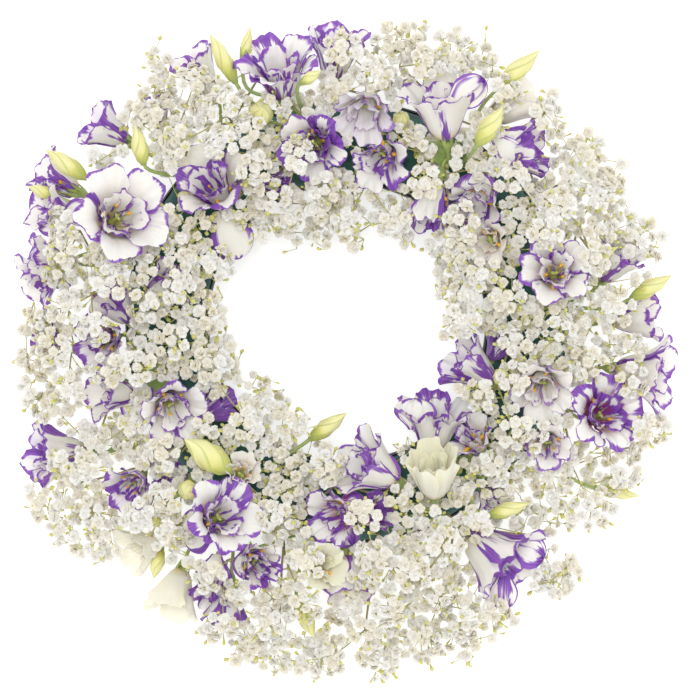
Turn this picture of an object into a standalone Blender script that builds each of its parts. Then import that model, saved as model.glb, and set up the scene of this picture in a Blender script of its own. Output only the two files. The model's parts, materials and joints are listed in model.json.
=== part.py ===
"""A round funeral wreath, lying flat: lisianthus blooms and buds and clouds of baby's breath, with
their stems pushed into a floral-foam ring that sits in a shallow plastic tray.

+X is right, +Y is the top of the wreath as it is looked at, and +Z points up, away from the table.
The origin is on the table, below the middle of the whole wreath. Lengths below are millimetres and
angles are degrees; new_object() turns the finished meshes into metres.
"""

import itertools
import math
import random
from collections import namedtuple

import bmesh
import bpy
import numpy as np
from mathutils import Matrix, Quaternion, Vector
from mathutils.bvhtree import BVHTree

METRES_PER_MM = 0.001
GAP = 0.35
SHARP_TURN = 50.0

# The 12 inch foam ring in its tray. The ring's centre lies above the middle of the wreath.
RING_CENTRE = Vector((0.0, 20.0, 0.0))
RING_MIDDLE_RADIUS = 125.0
FOAM_HALF_WIDTH = 27.0
FOAM_SHOULDER_HEIGHT = 18.0
TRAY_WALL = 1.6
TRAY_FLOOR = 2.0
TRAY_HEIGHT = 14.0
RING_SEGMENTS = 24
DOME_STEPS = 5

# The whole wreath is a little larger than a circle about the origin.
WREATH_RADIUS = 226.0

# The clear opening through the middle, measured from the ring's centre.
OPENING_LEFT = -56.0
OPENING_RIGHT = 60.0
OPENING_BOTTOM = -44.0
OPENING_TOP = 50.0
OPENING_HEIGHT = 140.0

# Lisianthus petals. A petal's midline leaves the base at one angle from the bloom's axis, climbs
# the cup's wall at another, and flares at the rim by the bloom's own angle.
PETAL_THICKNESS = 0.8
PROFILE_STEPS = 41
ROOT_RADIUS = 1.0
OUTER_ROOT_HEIGHT = 3.2
INNER_ROOT_HEIGHT = 6.6
BASE_ANGLE = 66.0
BASE_SHARE = 0.30
FLARE_START = 0.45
OUTER_WALL_ANGLE = 19.0
INNER_WALL_ANGLE = 9.0
OUTER_SPAN = 34.0
INNER_SPAN = 54.0
SMALL_SPAN = 43.0
RIM_ROUNDING = 0.24
OVERLAP_OFFSET = 0.8
RUFFLE = 1.5
INNER_LENGTH_SHARE = 0.78
INNER_FLARE_SHARE = 0.45
FOLD_SHARE = 0.17
FOLD_STEPS = 6
LOWEST_HEIGHT = 3.0
SMALL_BLOOM_PETALS = 4
SIDE_VIEW_TILT = 60.0
SMALL_HEART_BOTTOM = -5.0
HEART_RINGS = [(2.8, 1.6), (3.4, 3.8), (2.4, 6.0)]
HEART_TOP = 7.2

# Stems, calyces and buds.
STEM_RADIUS = 1.5
TRUNK_RADIUS = 2.0
STEM_DEPTH = 17.0
STEMS_TRIED = 6
BENDS = (0.35, 0.5, 0.2, 0.7, 0.05)
SWAYS = (0.0, 8.0, -8.0, 18.0, -18.0)
EARLY_BUD_HEIGHT = 76.0
LEAF_TURNS = (0, 15, -15, 30, -30, 50, -50, 80, -80, 120, -120, 160)
TRUNK_RISE = 7.0
KNUCKLE_RADIUS = 3.4
CLOUD_TRUNK_RISE = 11.0
CALYX_RADIUS = 5.0
CALYX_HEIGHT = 5.0
STAR_BUD_LENGTH = 27.0
BUD_SHARES = (0.0, 0.36, 0.68, 1.0)
BUD_SHOULDER = 0.7
SEPAL_REACH = 1.5
SEPAL_RISE = 8.0
SEPAL_ROOT = 3.0
SEPAL_NOTCH = 0.45
BRANCH_UPTURN = 0.4
HOLE_CLEARANCE = 0.7
HOLE_RUNOUT = 6.0

# A leaf's half width at its foot and the swell to its middle, its arch and its lifted edge, all as
# shares of its length or of its half width.
LEAF_FOOT = 0.03
LEAF_SWELL = 0.2
LEAF_ARCH = 0.12
LEAF_LIFT = 0.25

# Baby's breath, with its heads larger than life so that they cover.
TWIG_RADIUS = 0.75
BABY_TRUNK_RADIUS = 1.5
HEAD_RADII = (13.0, 10.0)
HEAD_LEAN_LIMIT = 0.55
HEAD_SIDES = 5
FORKS_PER_SPRAY = 3
FORK_RADIUS = 2.2
FORK_SPACING = 20.0
LONGEST_TWIG = 52.0
FACING_LIMIT = 0.4
PLACING_TRIES = 900
FIRST_SEED = 500
FORK_HEIGHTS = (0.5, 0.8)
HEAD_HEIGHTS = (0.7, 1.05)

# The wreath's rounded top: its crest's distance from the ring's centre, its half width, the height
# of its outer edges and its rise above them.
CREST_RADIUS = 132.0
CREST_HALF_WIDTH = 112.0
EDGE_HEIGHT = 36.0
CREST_RISE = 62.0

Bloom = namedtuple("Bloom", "x y z facing tilt length flare")
Bud = namedtuple("Bud", "x y z facing tilt length radius")
Stem = namedtuple("Stem", "bearing lean")
Leaf = namedtuple("Leaf", "stem facing tilt length")
Cloud = namedtuple("Cloud", "bearing lean half_width inner outer heads")
Petal = namedtuple("Petal", "azimuth length flare wall span root ruffle")
Solid = namedtuple("Solid", "points faces")

# Large blooms, each by its seat on the calyx from the ring's centre, the compass bearing that it
# faces, its tilt from upright, its petals' length and their flare.
LARGE_BLOOMS = [
    Bloom(-18, 124, 62, 225, 16, 40, 62),
    Bloom(17, 156, 60, 200, 38, 38, 48),
    Bloom(29, 121, 57, 215, 30, 38, 60),
    Bloom(97, 93, 60, 215, 42, 36, 42),
    Bloom(141, 30, 60, 0, 10, 40, 68),
    Bloom(167, -67, 48, 60, 22, 42, 84),
    Bloom(133, -33, 60, 180, 30, 38, 58),
    Bloom(-124, -49, 60, 150, 28, 40, 60),
    Bloom(-163, 67, 54, 60, 20, 54, 76),
    Bloom(-82, 80, 58, 322, 34, 48, 72),
    Bloom(-94, -137, 58, 60, 24, 43, 76),
    Bloom(-68, -160, 60, 120, 24, 32, 26),
    Bloom(-43, 150, 58, 352, 50, 48, 66),
    Bloom(-10, 163, 52, 4, 64, 42, 50),
    Bloom(68, 120, 72, 352, 66, 50, 52),
    Bloom(96, 136, 58, 50, 74, 42, 42),
    Bloom(98, 112, 62, 80, 74, 40, 34),
    Bloom(64, 101, 68, 193, 78, 42, 20),
    Bloom(180, -32, 46, 98, 72, 48, 52),
    Bloom(102, -43, 62, 305, 72, 40, 36),
    Bloom(58, -92, 56, 4, 66, 46, 62),
    Bloom(36, -110, 66, 300, 62, 46, 44),
    Bloom(60, -121, 68, 356, 46, 46, 6),
    Bloom(80, -143, 54, 128, 70, 56, 56),
]

# Smaller blooms, some half hidden, described in the same way.
SMALL_BLOOMS = [
    Bloom(102, 57, 66, 250, 22, 28, 44),
    Bloom(136, -78, 60, 170, 20, 28, 50),
    Bloom(-74, -106, 62, 40, 12, 28, 50),
    Bloom(-24, -166, 56, 90, 22, 30, 44),
    Bloom(178, 0, 50, 78, 74, 38, 40),
    Bloom(172, 26, 54, 35, 66, 36, 40),
    Bloom(92, -88, 58, 320, 36, 30, 44),
    Bloom(6, -127, 58, 250, 42, 36, 50),
    Bloom(-1, -155, 52, 174, 72, 38, 26),
    Bloom(-112, -166, 44, 197, 72, 40, 30),
    Bloom(-122, -143, 50, 236, 62, 38, 42),
    Bloom(-143, -50, 52, 275, 60, 36, 46),
    Bloom(-174, -90, 42, 268, 76, 44, 46),
    Bloom(-182, 88, 40, 296, 76, 38, 46),
    Bloom(-188, 40, 40, 275, 78, 34, 44),
    Bloom(-148, 122, 46, 300, 74, 36, 40),
    Bloom(-92, 158, 46, 326, 74, 34, 40),
    Bloom(-158, -10, 50, 250, 26, 34, 52),
    Bloom(-140, -104, 52, 220, 34, 32, 50),
    Bloom(-80, -176, 44, 186, 78, 34, 34),
]

# Buds, each by the foot of its calyx, the bearing and tilt that it points to, and its size.
BUDS = [
    Bud(-76, 163, 74, 332, 72, 38, 6.0),
    Bud(-71, 177, 66, 12, 78, 25, 4.0),
    Bud(-31, 161, 96, 60, 66, 17, 4.2),
    Bud(-60, 138, 74, 20, 18, 22, 9.0),
    Bud(-138, 107, 80, 348, 66, 28, 6.0),
    Bud(-178, 98, 66, 305, 74, 34, 6.5),
    Bud(-200, 86, 52, 290, 76, 20, 4.6),
    Bud(-109, 82, 66, 10, 14, 18, 7.0),
    Bud(102, 158, 76, 48, 74, 40, 7.0),
    Bud(88, 119, 100, 34, 70, 32, 7.0),
    Bud(36, 136, 64, 20, 20, 15, 6.0),
    Bud(194, 16, 66, 60, 76, 32, 6.0),
    Bud(160, 38, 78, 62, 70, 28, 5.0),
    Bud(105, -42, 84, 350, 40, 16, 6.0),
    Bud(170, -114, 56, 100, 76, 31, 5.0),
    Bud(97, -132, 72, 72, 74, 29, 5.5),
    Bud(-25, -80, 66, 54, 74, 32, 6.0),
    Bud(-80, -101, 82, 306, 66, 40, 10.0),
    Bud(-107, -113, 78, 220, 16, 15, 7.0),
    Bud(-127, -130, 74, 212, 70, 20, 4.6),
    Bud(-127, -155, 60, 194, 74, 22, 5.0),
    Bud(-34, -189, 58, 156, 74, 30, 6.5),
]

# Lisianthus stems in the foam, by bearing and by lean over the half-round section.
LISIANTHUS_STEMS = [
    Stem(349, 18),
    Stem(8, 30),
    Stem(36, 14),
    Stem(66, -10),
    Stem(86, 26),
    Stem(110, 12),
    Stem(141, -8),
    Stem(163, 6),
    Stem(190, 34),
    Stem(215, 20),
    Stem(247, 22),
    Stem(289, 34),
    Stem(318, 12),
]

# Leaves, each by its stem's place in the list above, and the bearing, tilt and length it has.
LEAVES = [
    Leaf(10, 6, 72, 38),
    Leaf(2, 18, 62, 34),
    Leaf(6, 92, 72, 36),
    Leaf(9, 160, 74, 34),
    Leaf(12, 262, 76, 36),
]

# Sprays of baby's breath: where each stem stands, the sector that its heads fill, and their
# number. The sprays over the foam come first, then the outer ones, then the inner fringe.
CLOUDS = [
    Cloud(48, -14, 20, 100, 160, 13),
    Cloud(98, -20, 22, 96, 160, 15),
    Cloud(128, -24, 20, 92, 155, 11),
    Cloud(184, -20, 22, 96, 158, 12),
    Cloud(235, -24, 22, 92, 155, 12),
    Cloud(274, -24, 22, 90, 155, 14),
    Cloud(328, -28, 26, 80, 150, 12),
    Cloud(5, 56, 18, 160, 214, 10),
    Cloud(27, 60, 17, 158, 216, 11),
    Cloud(56, 62, 17, 158, 218, 13),
    Cloud(76, 66, 14, 158, 222, 9),
    Cloud(112, 62, 17, 158, 230, 9),
    Cloud(152, 62, 14, 158, 236, 9),
    Cloud(172, 60, 14, 158, 242, 11),
    Cloud(196, 60, 14, 165, 248, 11),
    Cloud(234, 62, 16, 158, 250, 12),
    Cloud(258, 62, 15, 160, 242, 11),
    Cloud(278, 62, 14, 160, 232, 10),
    Cloud(330, 62, 15, 160, 230, 10),
    Cloud(2, -62, 28, 60, 112, 12),
    Cloud(66, -62, 24, 66, 104, 8),
]


def clear_scene():
    for obj in list(bpy.data.objects):
        bpy.data.objects.remove(obj)


def principled(name, colour, roughness):
    material = bpy.data.materials.new(name)
    material.use_nodes = True
    shader = material.node_tree.nodes["Principled BSDF"]
    shader.inputs["Base Color"].default_value = (*colour, 1.0)
    shader.inputs["Roughness"].default_value = roughness
    shader.inputs["Metallic"].default_value = 0.0
    return material


def shade(mesh):
    """Smooth shading, broken where the surface turns sharply."""
    mesh.shade_smooth()
    mesh.set_sharp_from_angle(angle=math.radians(SHARP_TURN))


def new_object(name, solid, material=None):
    """One object from a solid in millimetres."""
    mesh = bpy.data.meshes.new(name)
    points = [Vector(point) * METRES_PER_MM for point in solid.points]
    mesh.from_pydata(points, [], solid.faces)
    shade(mesh)
    obj = bpy.data.objects.new(name, mesh)
    bpy.context.scene.collection.objects.link(obj)
    if material:
        mesh.materials.append(material)
    return obj


def baked(obj):
    """The object with its modifiers applied."""
    graph = bpy.context.evaluated_depsgraph_get()
    mesh = bpy.data.meshes.new_from_object(obj.evaluated_get(graph))
    obj.modifiers.clear()
    obj.data = mesh
    return obj


def signed_volume(faces):
    volume = 0.0
    for face in faces:
        corners = [loop.vert.co for loop in face.loops]
        for b, c in zip(corners[1:], corners[2:]):
            volume += corners[0].dot(b.cross(c)) / 6.0
    return volume


def keep_main_body(obj):
    """Fills what a union sealed in and drops loose scrap, by keeping the largest shell alone."""
    work = bmesh.new()
    work.from_mesh(obj.data)
    waiting = set(work.faces)
    shells = []
    while waiting:
        shell = set()
        edge = [waiting.pop()]
        while edge:
            face = edge.pop()
            shell.add(face)
            for near in {linked for side in face.edges for linked in side.link_faces}:
                if near in waiting:
                    waiting.remove(near)
                    edge.append(near)
        shells.append(shell)
    shells.sort(key=signed_volume)
    for shell in shells[:-1]:
        bmesh.ops.delete(work, geom=list(shell), context="FACES")
    work.to_mesh(obj.data)
    work.free()


def fused(name, solids, material):
    """One object that joins overlapping solids, by a single Boolean union on a collection."""
    obj = new_object(name, solids[0], material)
    others = bpy.data.collections.new(name + "_pieces")
    bpy.context.scene.collection.children.link(others)
    for number, solid in enumerate(solids[1:]):
        piece = new_object(f"{name}_piece_{number}", solid)
        bpy.context.scene.collection.objects.unlink(piece)
        others.objects.link(piece)
    union = obj.modifiers.new("Union", "BOOLEAN")
    union.operation = "UNION"
    union.operand_type = "COLLECTION"
    union.collection = others
    union.solver = "MANIFOLD"
    baked(obj)
    keep_main_body(obj)
    shade(obj.data)
    for piece in list(others.objects):
        bpy.data.objects.remove(piece)
    bpy.data.collections.remove(others)
    return obj


def bearing_vector(bearing):
    """The level direction at a compass bearing, clockwise from the top of the wreath."""
    return Vector((math.sin(math.radians(bearing)), math.cos(math.radians(bearing)), 0.0))


def pointing(facing, tilt):
    """The direction that leans from upright by the tilt, towards the bearing."""
    level = bearing_vector(facing) * math.sin(math.radians(tilt))
    return level + Vector((0.0, 0.0, math.cos(math.radians(tilt))))


def seat_of(flower):
    return RING_CENTRE + Vector((flower.x, flower.y, flower.z))


def axis_of(flower):
    return pointing(flower.facing, flower.tilt)


def frame_of(flower):
    """The placing of a flower's own frame, with its axis as Z."""
    turn = axis_of(flower).to_track_quat("Z", "Y")
    return Matrix.Translation(seat_of(flower)) @ turn.to_matrix().to_4x4()


def foam_surface(bearing, lean):
    """The point on the foam's half-round top at a bearing and a lean across the section."""
    middle = RING_CENTRE + bearing_vector(bearing) * RING_MIDDLE_RADIUS
    middle.z = FOAM_SHOULDER_HEIGHT
    return middle + pointing(bearing, lean) * FOAM_HALF_WIDTH


def turned_ring(profile):
    """A ring with a closed section, given as radius and height from the ring's centre."""
    points = []
    faces = []
    count = len(profile)
    for segment in range(RING_SEGMENTS):
        outward = bearing_vector(-360.0 * segment / RING_SEGMENTS)
        for radius, height in profile:
            points.append(RING_CENTRE + outward * radius + Vector((0.0, 0.0, height)))
    for segment in range(RING_SEGMENTS):
        here = segment * count
        there = (segment + 1) % RING_SEGMENTS * count
        for i in range(count):
            j = (i + 1) % count
            faces.append((here + i, there + i, there + j, here + j))
    return Solid(points, faces)


def tray_solid():
    reach = FOAM_HALF_WIDTH + GAP + TRAY_WALL
    inner = RING_MIDDLE_RADIUS - reach
    outer = RING_MIDDLE_RADIUS + reach
    profile = [
        (inner, 0.0),
        (outer, 0.0),
        (outer, TRAY_HEIGHT),
        (outer - TRAY_WALL, TRAY_HEIGHT),
        (outer - TRAY_WALL, TRAY_FLOOR),
        (inner + TRAY_WALL, TRAY_FLOOR),
        (inner + TRAY_WALL, TRAY_HEIGHT),
        (inner, TRAY_HEIGHT),
    ]
    return turned_ring(profile)


def foam_solid():
    floor = TRAY_FLOOR + GAP
    profile = [
        (RING_MIDDLE_RADIUS - FOAM_HALF_WIDTH, floor),
        (RING_MIDDLE_RADIUS + FOAM_HALF_WIDTH, floor),
    ]
    for step in range(DOME_STEPS + 1):
        lean = math.radians(90.0 - 180.0 * step / DOME_STEPS)
        radius = RING_MIDDLE_RADIUS + FOAM_HALF_WIDTH * math.sin(lean)
        profile.append((radius, FOAM_SHOULDER_HEIGHT + FOAM_HALF_WIDTH * math.cos(lean)))
    return turned_ring(profile)


def opening_solid():
    corners = [
        RING_CENTRE + Vector((x, y, z))
        for z in (-1.0, OPENING_HEIGHT)
        for x, y in (
            (OPENING_LEFT, OPENING_BOTTOM),
            (OPENING_RIGHT, OPENING_BOTTOM),
            (OPENING_RIGHT, OPENING_TOP),
            (OPENING_LEFT, OPENING_TOP),
        )
    ]
    faces = [(3, 2, 1, 0), (4, 5, 6, 7)]
    for i in range(4):
        j = (i + 1) % 4
        faces.append((i, j, j + 4, i + 4))
    return Solid(corners, faces)


def tube(path, radii, sides, twist=0.0):
    """A closed tube along a path. A radius of nought closes that end in a point."""
    points = []
    rings = []
    side = None
    for i, point in enumerate(path):
        ahead = path[min(i + 1, len(path) - 1)] - path[max(i - 1, 0)]
        ahead.normalize()
        if side is None:
            side = ahead.orthogonal().normalized()
        side = (side - ahead * side.dot(ahead)).normalized()
        if radii[i] == 0.0:
            rings.append([len(points)])
            points.append(point.copy())
            continue
        first = len(points)
        for k in range(sides):
            turn = Quaternion(ahead, 2 * math.pi * k / sides + math.radians(twist) * i)
            points.append(point + turn @ side * radii[i])
        rings.append(list(range(first, first + sides)))
    faces = []
    for low, high in zip(rings, rings[1:]):
        for k in range(sides):
            n = (k + 1) % sides
            if len(low) == 1:
                faces.append((low[0], high[n], high[k]))
            elif len(high) == 1:
                faces.append((low[k], low[n], high[0]))
            else:
                faces.append((low[k], low[n], high[n]))
                faces.append((low[k], high[n], high[k]))
    if len(rings[0]) > 1:
        faces.append(tuple(reversed(rings[0])))
    if len(rings[-1]) > 1:
        faces.append(tuple(rings[-1]))
    return Solid(points, faces)


def smooth_step(share):
    share = np.clip(share, 0.0, 1.0)
    return share * share * (3.0 - 2.0 * share)


def petal_profile(petal, fold):
    """Distance from the axis, and height, along a petal's midline, folded in by some steps."""
    closing = 1.0 - FOLD_SHARE * fold
    share = np.linspace(0.0, 1.0, PROFILE_STEPS)
    wall = petal.wall * closing
    flare = petal.flare * closing
    angle = wall + (BASE_ANGLE - wall) * (1.0 - smooth_step(share / BASE_SHARE))
    angle = angle + (flare - wall) * smooth_step((share - FLARE_START) / (1.0 - FLARE_START))
    angle = np.radians(angle[:-1])
    step = petal.length / (PROFILE_STEPS - 1)
    radius = ROOT_RADIUS + step * np.concatenate(([0.0], np.cumsum(np.sin(angle))))
    height = petal.root + step * np.concatenate(([0.0], np.cumsum(np.cos(angle))))
    return share, radius, height


def petal_points(petal, fold, across, along):
    """Points of a petal's middle surface, across from -1 to 1 and along from 0 to 1."""
    share, radii, heights = petal_profile(petal, fold)
    reach = along * (1.0 - RIM_ROUNDING * np.abs(across) ** 2.2)
    radius = np.interp(reach, share, radii)
    height = np.interp(reach, share, heights)
    span = petal.span * (0.6 + 0.4 * smooth_step(reach * 2.0))
    azimuth = np.radians(petal.azimuth + across * span)
    ruffle = RUFFLE * along**3 * np.cos(2.0 * math.pi * across + petal.ruffle)
    radius = radius + across * along * OVERLAP_OFFSET + ruffle
    height = height - 0.5 * ruffle
    return np.stack([radius * np.cos(azimuth), radius * np.sin(azimuth), height], axis=-1)


def skins(rows, surface, thickness):
    """The outer and inner points of a blade, row by row.

    Each row is its place along the blade and the places across it; surface() gives the points.
    """
    across = np.array([u for _, row in rows for u in row])
    along = np.array([v for v, row in rows for _ in row])
    step = 0.02
    middle = surface(across, along)
    slope_across = surface(across + step, along) - surface(across - step, along)
    slope_along = surface(across, along + step) - surface(across, along - step)
    normal = np.cross(slope_across, slope_along)
    normal /= np.linalg.norm(normal, axis=1)[:, None]
    outer = [Vector(point) for point in middle + normal * thickness / 2]
    inner = [Vector(point) for point in middle - normal * thickness / 2]
    return outer, inner


def strip(low, low_across, high, high_across):
    """Triangles between two rows of points, always across the shorter diagonal."""
    faces = []
    i = 0
    j = 0
    while i < len(low) - 1 or j < len(high) - 1:
        climb = j == len(high) - 1
        if i < len(low) - 1 and j < len(high) - 1:
            climb = abs(low_across[i + 1] - high_across[j]) < abs(low_across[i] - high_across[j + 1])
        if climb:
            faces.append((low[i], low[i + 1], high[j]))
            i += 1
        else:
            faces.append((low[i], high[j + 1], high[j]))
            j += 1
    return faces


def grow_blade(points, faces, root_outer, root_inner, rows, surface, thickness):
    """Grows a blade out of a four-cornered hole in a skin, split alike on both faces."""
    outer_points, inner_points = skins(rows, surface, thickness)
    outer = root_outer
    inner = root_inner
    across = [-1.0, 1.0]
    used = 0
    for _, row in rows:
        count = len(row)
        first = len(points)
        points += outer_points[used : used + count] + inner_points[used : used + count]
        used += count
        next_outer = list(range(first, first + count))
        next_inner = list(range(first + count, first + 2 * count))
        faces += strip(outer, across, next_outer, row)
        faces += [face[::-1] for face in strip(inner, across, next_inner, row)]
        left = (outer[0], next_outer[0], next_inner[0], inner[0])
        right = (next_outer[-1], outer[-1], inner[-1], next_inner[-1])
        for a, b, c, d in (left, right):
            faces += [(a, b, c), (a, c, d)]
        outer = next_outer
        inner = next_inner
        across = row
    for k in range(len(outer) - 1):
        faces.append((outer[k], outer[k + 1], inner[k + 1]))
        faces.append((outer[k], inner[k + 1], inner[k]))


def blade(rows, surface, thickness):
    """A closed blade by itself. Its first row has two points."""
    first, second = skins(rows[:1], surface, thickness)
    points = first + second
    faces = [(3, 2, 0), (3, 0, 1)]
    grow_blade(points, faces, [0, 1], [2, 3], rows[1:], surface, thickness)
    return Solid(points, [face[::-1] for face in faces[:2]] + faces[2:])


def placed(solid, frame):
    return Solid([frame @ point for point in solid.points], solid.faces)


# Rows of a blade's points: each row's place along the blade, and the places across it.
PETAL_FOOT = (0.06, [-0.9, 0.9])
OUTER_ROWS = [(0.55, [-0.95, 0.95]), (1.0, [-1.0, -0.34, 0.34, 1.0])]
INNER_ROWS = [(0.55, [-0.95, 0.95]), (1.0, [-1.0, 0.0, 1.0])]
LEAF_ROWS = [(0.0, [-1.0, 1.0]), (0.45, [-1.0, 0.0, 1.0]), (1.0, [-1.0, 1.0])]


def petals_of(bloom, outer_count, inner_count):
    """The petals of one bloom, the outer whorl first. Its turn about its axis follows its seat."""
    start = (bloom.x * 7.0 + bloom.y * 3.0) % 72.0
    petals = []
    span = OUTER_SPAN if inner_count else SMALL_SPAN
    for i in range(outer_count):
        azimuth = start + 360.0 * i / outer_count
        shape = (bloom.length, bloom.flare, OUTER_WALL_ANGLE, span, OUTER_ROOT_HEIGHT)
        petals.append(Petal(azimuth, *shape, 0.7 * i))
    length = bloom.length * INNER_LENGTH_SHARE
    flare = bloom.flare * INNER_FLARE_SHARE
    for i in range(inner_count):
        azimuth = start + 36.0 + 360.0 * i / inner_count
        shape = (length, flare, INNER_WALL_ANGLE, INNER_SPAN, INNER_ROOT_HEIGHT)
        petals.append(Petal(azimuth, *shape, 0.9 * i))
    return petals


def surface_of(petal, fold, frame):
    """The petal's middle surface in the wreath's own space."""
    turn = np.array(frame.to_3x3())
    shift = np.array(frame.translation)

    def surface(across, along):
        return petal_points(petal, fold, across, along) @ turn.T + shift

    return surface


class Space:
    """What has been placed so far, to keep the later pieces clear of it."""

    def __init__(self):
        self.taken = []

    def add(self, solid, owner=None):
        tree = BVHTree.FromPolygons(solid.points, solid.faces)
        low = Vector(map(min, zip(*solid.points)))
        high = Vector(map(max, zip(*solid.points)))
        self.taken.append((low, high, tree, owner))

    def free(self, solid, *owners):
        """Whether the solid crosses nothing, its owners' things aside, above the table."""
        low = Vector(map(min, zip(*solid.points)))
        high = Vector(map(max, zip(*solid.points)))
        if low.z < LOWEST_HEIGHT:
            return False
        tree = None
        for other_low, other_high, other, other_owner in self.taken:
            if other_owner is not None and other_owner in owners:
                continue
            if any(low[i] > other_high[i] or high[i] < other_low[i] for i in range(3)):
                continue
            if tree is None:
                tree = BVHTree.FromPolygons(solid.points, solid.faces)
            if tree.overlap(other):
                return False
        return True


def clear_fold(space, petal, rows, frame):
    """How many steps a petal folds in until it is clear, or None."""
    for fold in range(FOLD_STEPS):
        surface = surface_of(petal, fold, frame)
        if space.free(blade([PETAL_FOOT] + rows, surface, PETAL_THICKNESS + 2 * GAP)):
            return fold
    return None


def bloom_solid(space, bloom, outer_count, inner_count):
    """A bloom: a small heart with its petals growing from its sides in one skin.

    The petals fold clear of everything placed before.
    """
    frame = frame_of(bloom)
    petals = petals_of(bloom, outer_count, inner_count)
    start = petals[0].azimuth - 180.0 / outer_count
    bottom = 0.0 if inner_count else SMALL_HEART_BOTTOM
    points = [frame @ Vector((0.0, 0.0, bottom)), frame @ Vector((0.0, 0.0, HEART_TOP))]
    levels = HEART_RINGS if inner_count else HEART_RINGS[:2]
    rings = []
    for radius, height in levels:
        first = len(points)
        for k in range(outer_count):
            turn = math.radians(start + 360.0 * k / outer_count)
            place = Vector((radius * math.cos(turn), radius * math.sin(turn), height))
            points.append(frame @ place)
        rings.append(list(range(first, first + outer_count)))
    faces = []
    for k in range(outer_count):
        n = (k + 1) % outer_count
        faces.append((0, rings[0][n], rings[0][k]))
        faces.append((1, rings[-1][k], rings[-1][n]))
    grown = {(0, k): petal for k, petal in enumerate(petals[:outer_count])}
    for i, petal in enumerate(petals[outer_count:]):
        side = round((petal.azimuth - petals[0].azimuth) * outer_count / 360.0) % outer_count
        grown[(1, side)] = petal
    for level in range(len(rings) - 1):
        for k in range(outer_count):
            n = (k + 1) % outer_count
            low = [rings[level][k], rings[level][n]]
            high = [rings[level + 1][k], rings[level + 1][n]]
            petal = grown.get((level, k))
            rows = OUTER_ROWS if level == 0 and inner_count else INNER_ROWS
            fold = clear_fold(space, petal, rows, frame) if petal else None
            if fold is None:
                faces += [(low[0], low[1], high[1]), (low[0], high[1], high[0])]
                continue
            surface = surface_of(petal, fold, frame)
            grow_blade(points, faces, low, high, rows, surface, PETAL_THICKNESS)
    return Solid(points, faces)


def curve_between(start, leaving, end, arriving, bend, sway, steps=2):
    """Points on a smooth curve between two directions, swayed sideways by some millimetres."""
    reach = (end - start).length * bend
    aside = (end - start).cross(Vector((0.0, 0.0, 1.0))).normalized() * sway
    first = start + leaving * reach + aside
    last = end - arriving * reach + aside
    path = []
    for i in range(steps + 1):
        t = i / steps
        path.append(
            start * (1 - t) ** 3
            + first * 3 * t * (1 - t) ** 2
            + last * 3 * t * t * (1 - t)
            + end * t**3
        )
    return path


def star_solid(bud):
    """Five pointed sepals around the foot of a bud."""
    points = [Vector((0.0, 0.0, -SEPAL_ROOT)), Vector((0.0, 0.0, SEPAL_ROOT))]
    radius = bud.radius + SEPAL_REACH
    for i in range(10):
        tip = i % 2 == 0
        turn = math.radians(36.0 * i)
        out = radius if tip else SEPAL_NOTCH * radius
        height = SEPAL_RISE if tip else 0.0
        points.append(Vector((out * math.cos(turn), out * math.sin(turn), height)))
    faces = []
    for i in range(10):
        a = 2 + i
        b = 2 + (i + 1) % 10
        faces.append((0, b, a))
        faces.append((1, a, b))
    return placed(Solid(points, faces), frame_of(bud))


def trunk_path(stem, rise):
    """From the bottom of a stem's hole, out of the foam, to its first fork."""
    normal = pointing(stem.bearing, stem.lean)
    surface = foam_surface(stem.bearing, stem.lean)
    return [surface - normal * STEM_DEPTH, surface + normal * rise]


def reserve_trunk(space, stem, rise):
    """Keeps room for a stem's trunk and its first fork."""
    normal = pointing(stem.bearing, stem.lean)
    surface = foam_surface(stem.bearing, stem.lean)
    path = [surface + normal * 1.5, surface + normal * (rise + KNUCKLE_RADIUS)]
    space.add(tube(path, [KNUCKLE_RADIUS * 1.15 + GAP] * 2, 6), owner=stem)


def calyx_end(bloom):
    """Where a large bloom's stem swells into its calyx, with a gap under the bloom's heart."""
    foot = seat_of(bloom)
    axis = axis_of(bloom)
    path = [foot - axis * CALYX_HEIGHT, foot - axis * 0.4, foot - axis * GAP]
    return path, [STEM_RADIUS, CALYX_RADIUS, 0.0]


def rooted_end(bloom):
    """Where a small bloom's stem runs on into the bloom's heart."""
    foot = seat_of(bloom)
    axis = axis_of(bloom)
    return [foot - axis * CALYX_HEIGHT, foot + axis * 0.5], [STEM_RADIUS, STEM_RADIUS]


def bud_end(bud):
    """A furled bud, as the swollen end of its stem."""
    foot = seat_of(bud)
    axis = axis_of(bud)
    path = [foot + axis * bud.length * share for share in BUD_SHARES]
    return path, [STEM_RADIUS, bud.radius, BUD_SHOULDER * bud.radius, 0.0]


def hub_of(stem):
    return trunk_path(stem, TRUNK_RISE)[1]


def branch_clear(space, flower, ending, sides):
    """The branch from the best placed stem to a flower, bent to be clear. Returns both."""
    path_end, radii_end = ending
    seat = seat_of(flower)
    nearest = sorted(LISIANTHUS_STEMS, key=lambda stem: (hub_of(stem) - seat).length)
    for stem in nearest[:STEMS_TRIED]:
        hub = hub_of(stem)
        ahead = (path_end[0] - hub).normalized()
        upturn = pointing(stem.bearing, stem.lean) * BRANCH_UPTURN
        leaving = (upturn + ahead).normalized()
        start = hub + leaving * KNUCKLE_RADIUS * 0.5
        for bend, sway in itertools.product(BENDS, SWAYS):
            path = curve_between(start, leaving, path_end[0], axis_of(flower), bend, sway)
            widths = [STEM_RADIUS] * (len(path) - 1)
            room = tube(path[:-1] + [path_end[0]], [STEM_RADIUS + GAP] * len(path), sides)
            wide = [radius + GAP if radius else 0.0 for radius in widths + radii_end]
            whole_room = tube(path[:-1] + path_end, wide, sides)
            own_bud = flower if flower in BUDS else None
            if space.free(room, stem, own_bud) and space.free(whole_room, stem, flower):
                return stem, tube(path[:-1] + path_end, widths + radii_end, sides)
    return nearest[0], tube(path[:-1] + path_end, widths + radii_end, sides)


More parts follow.
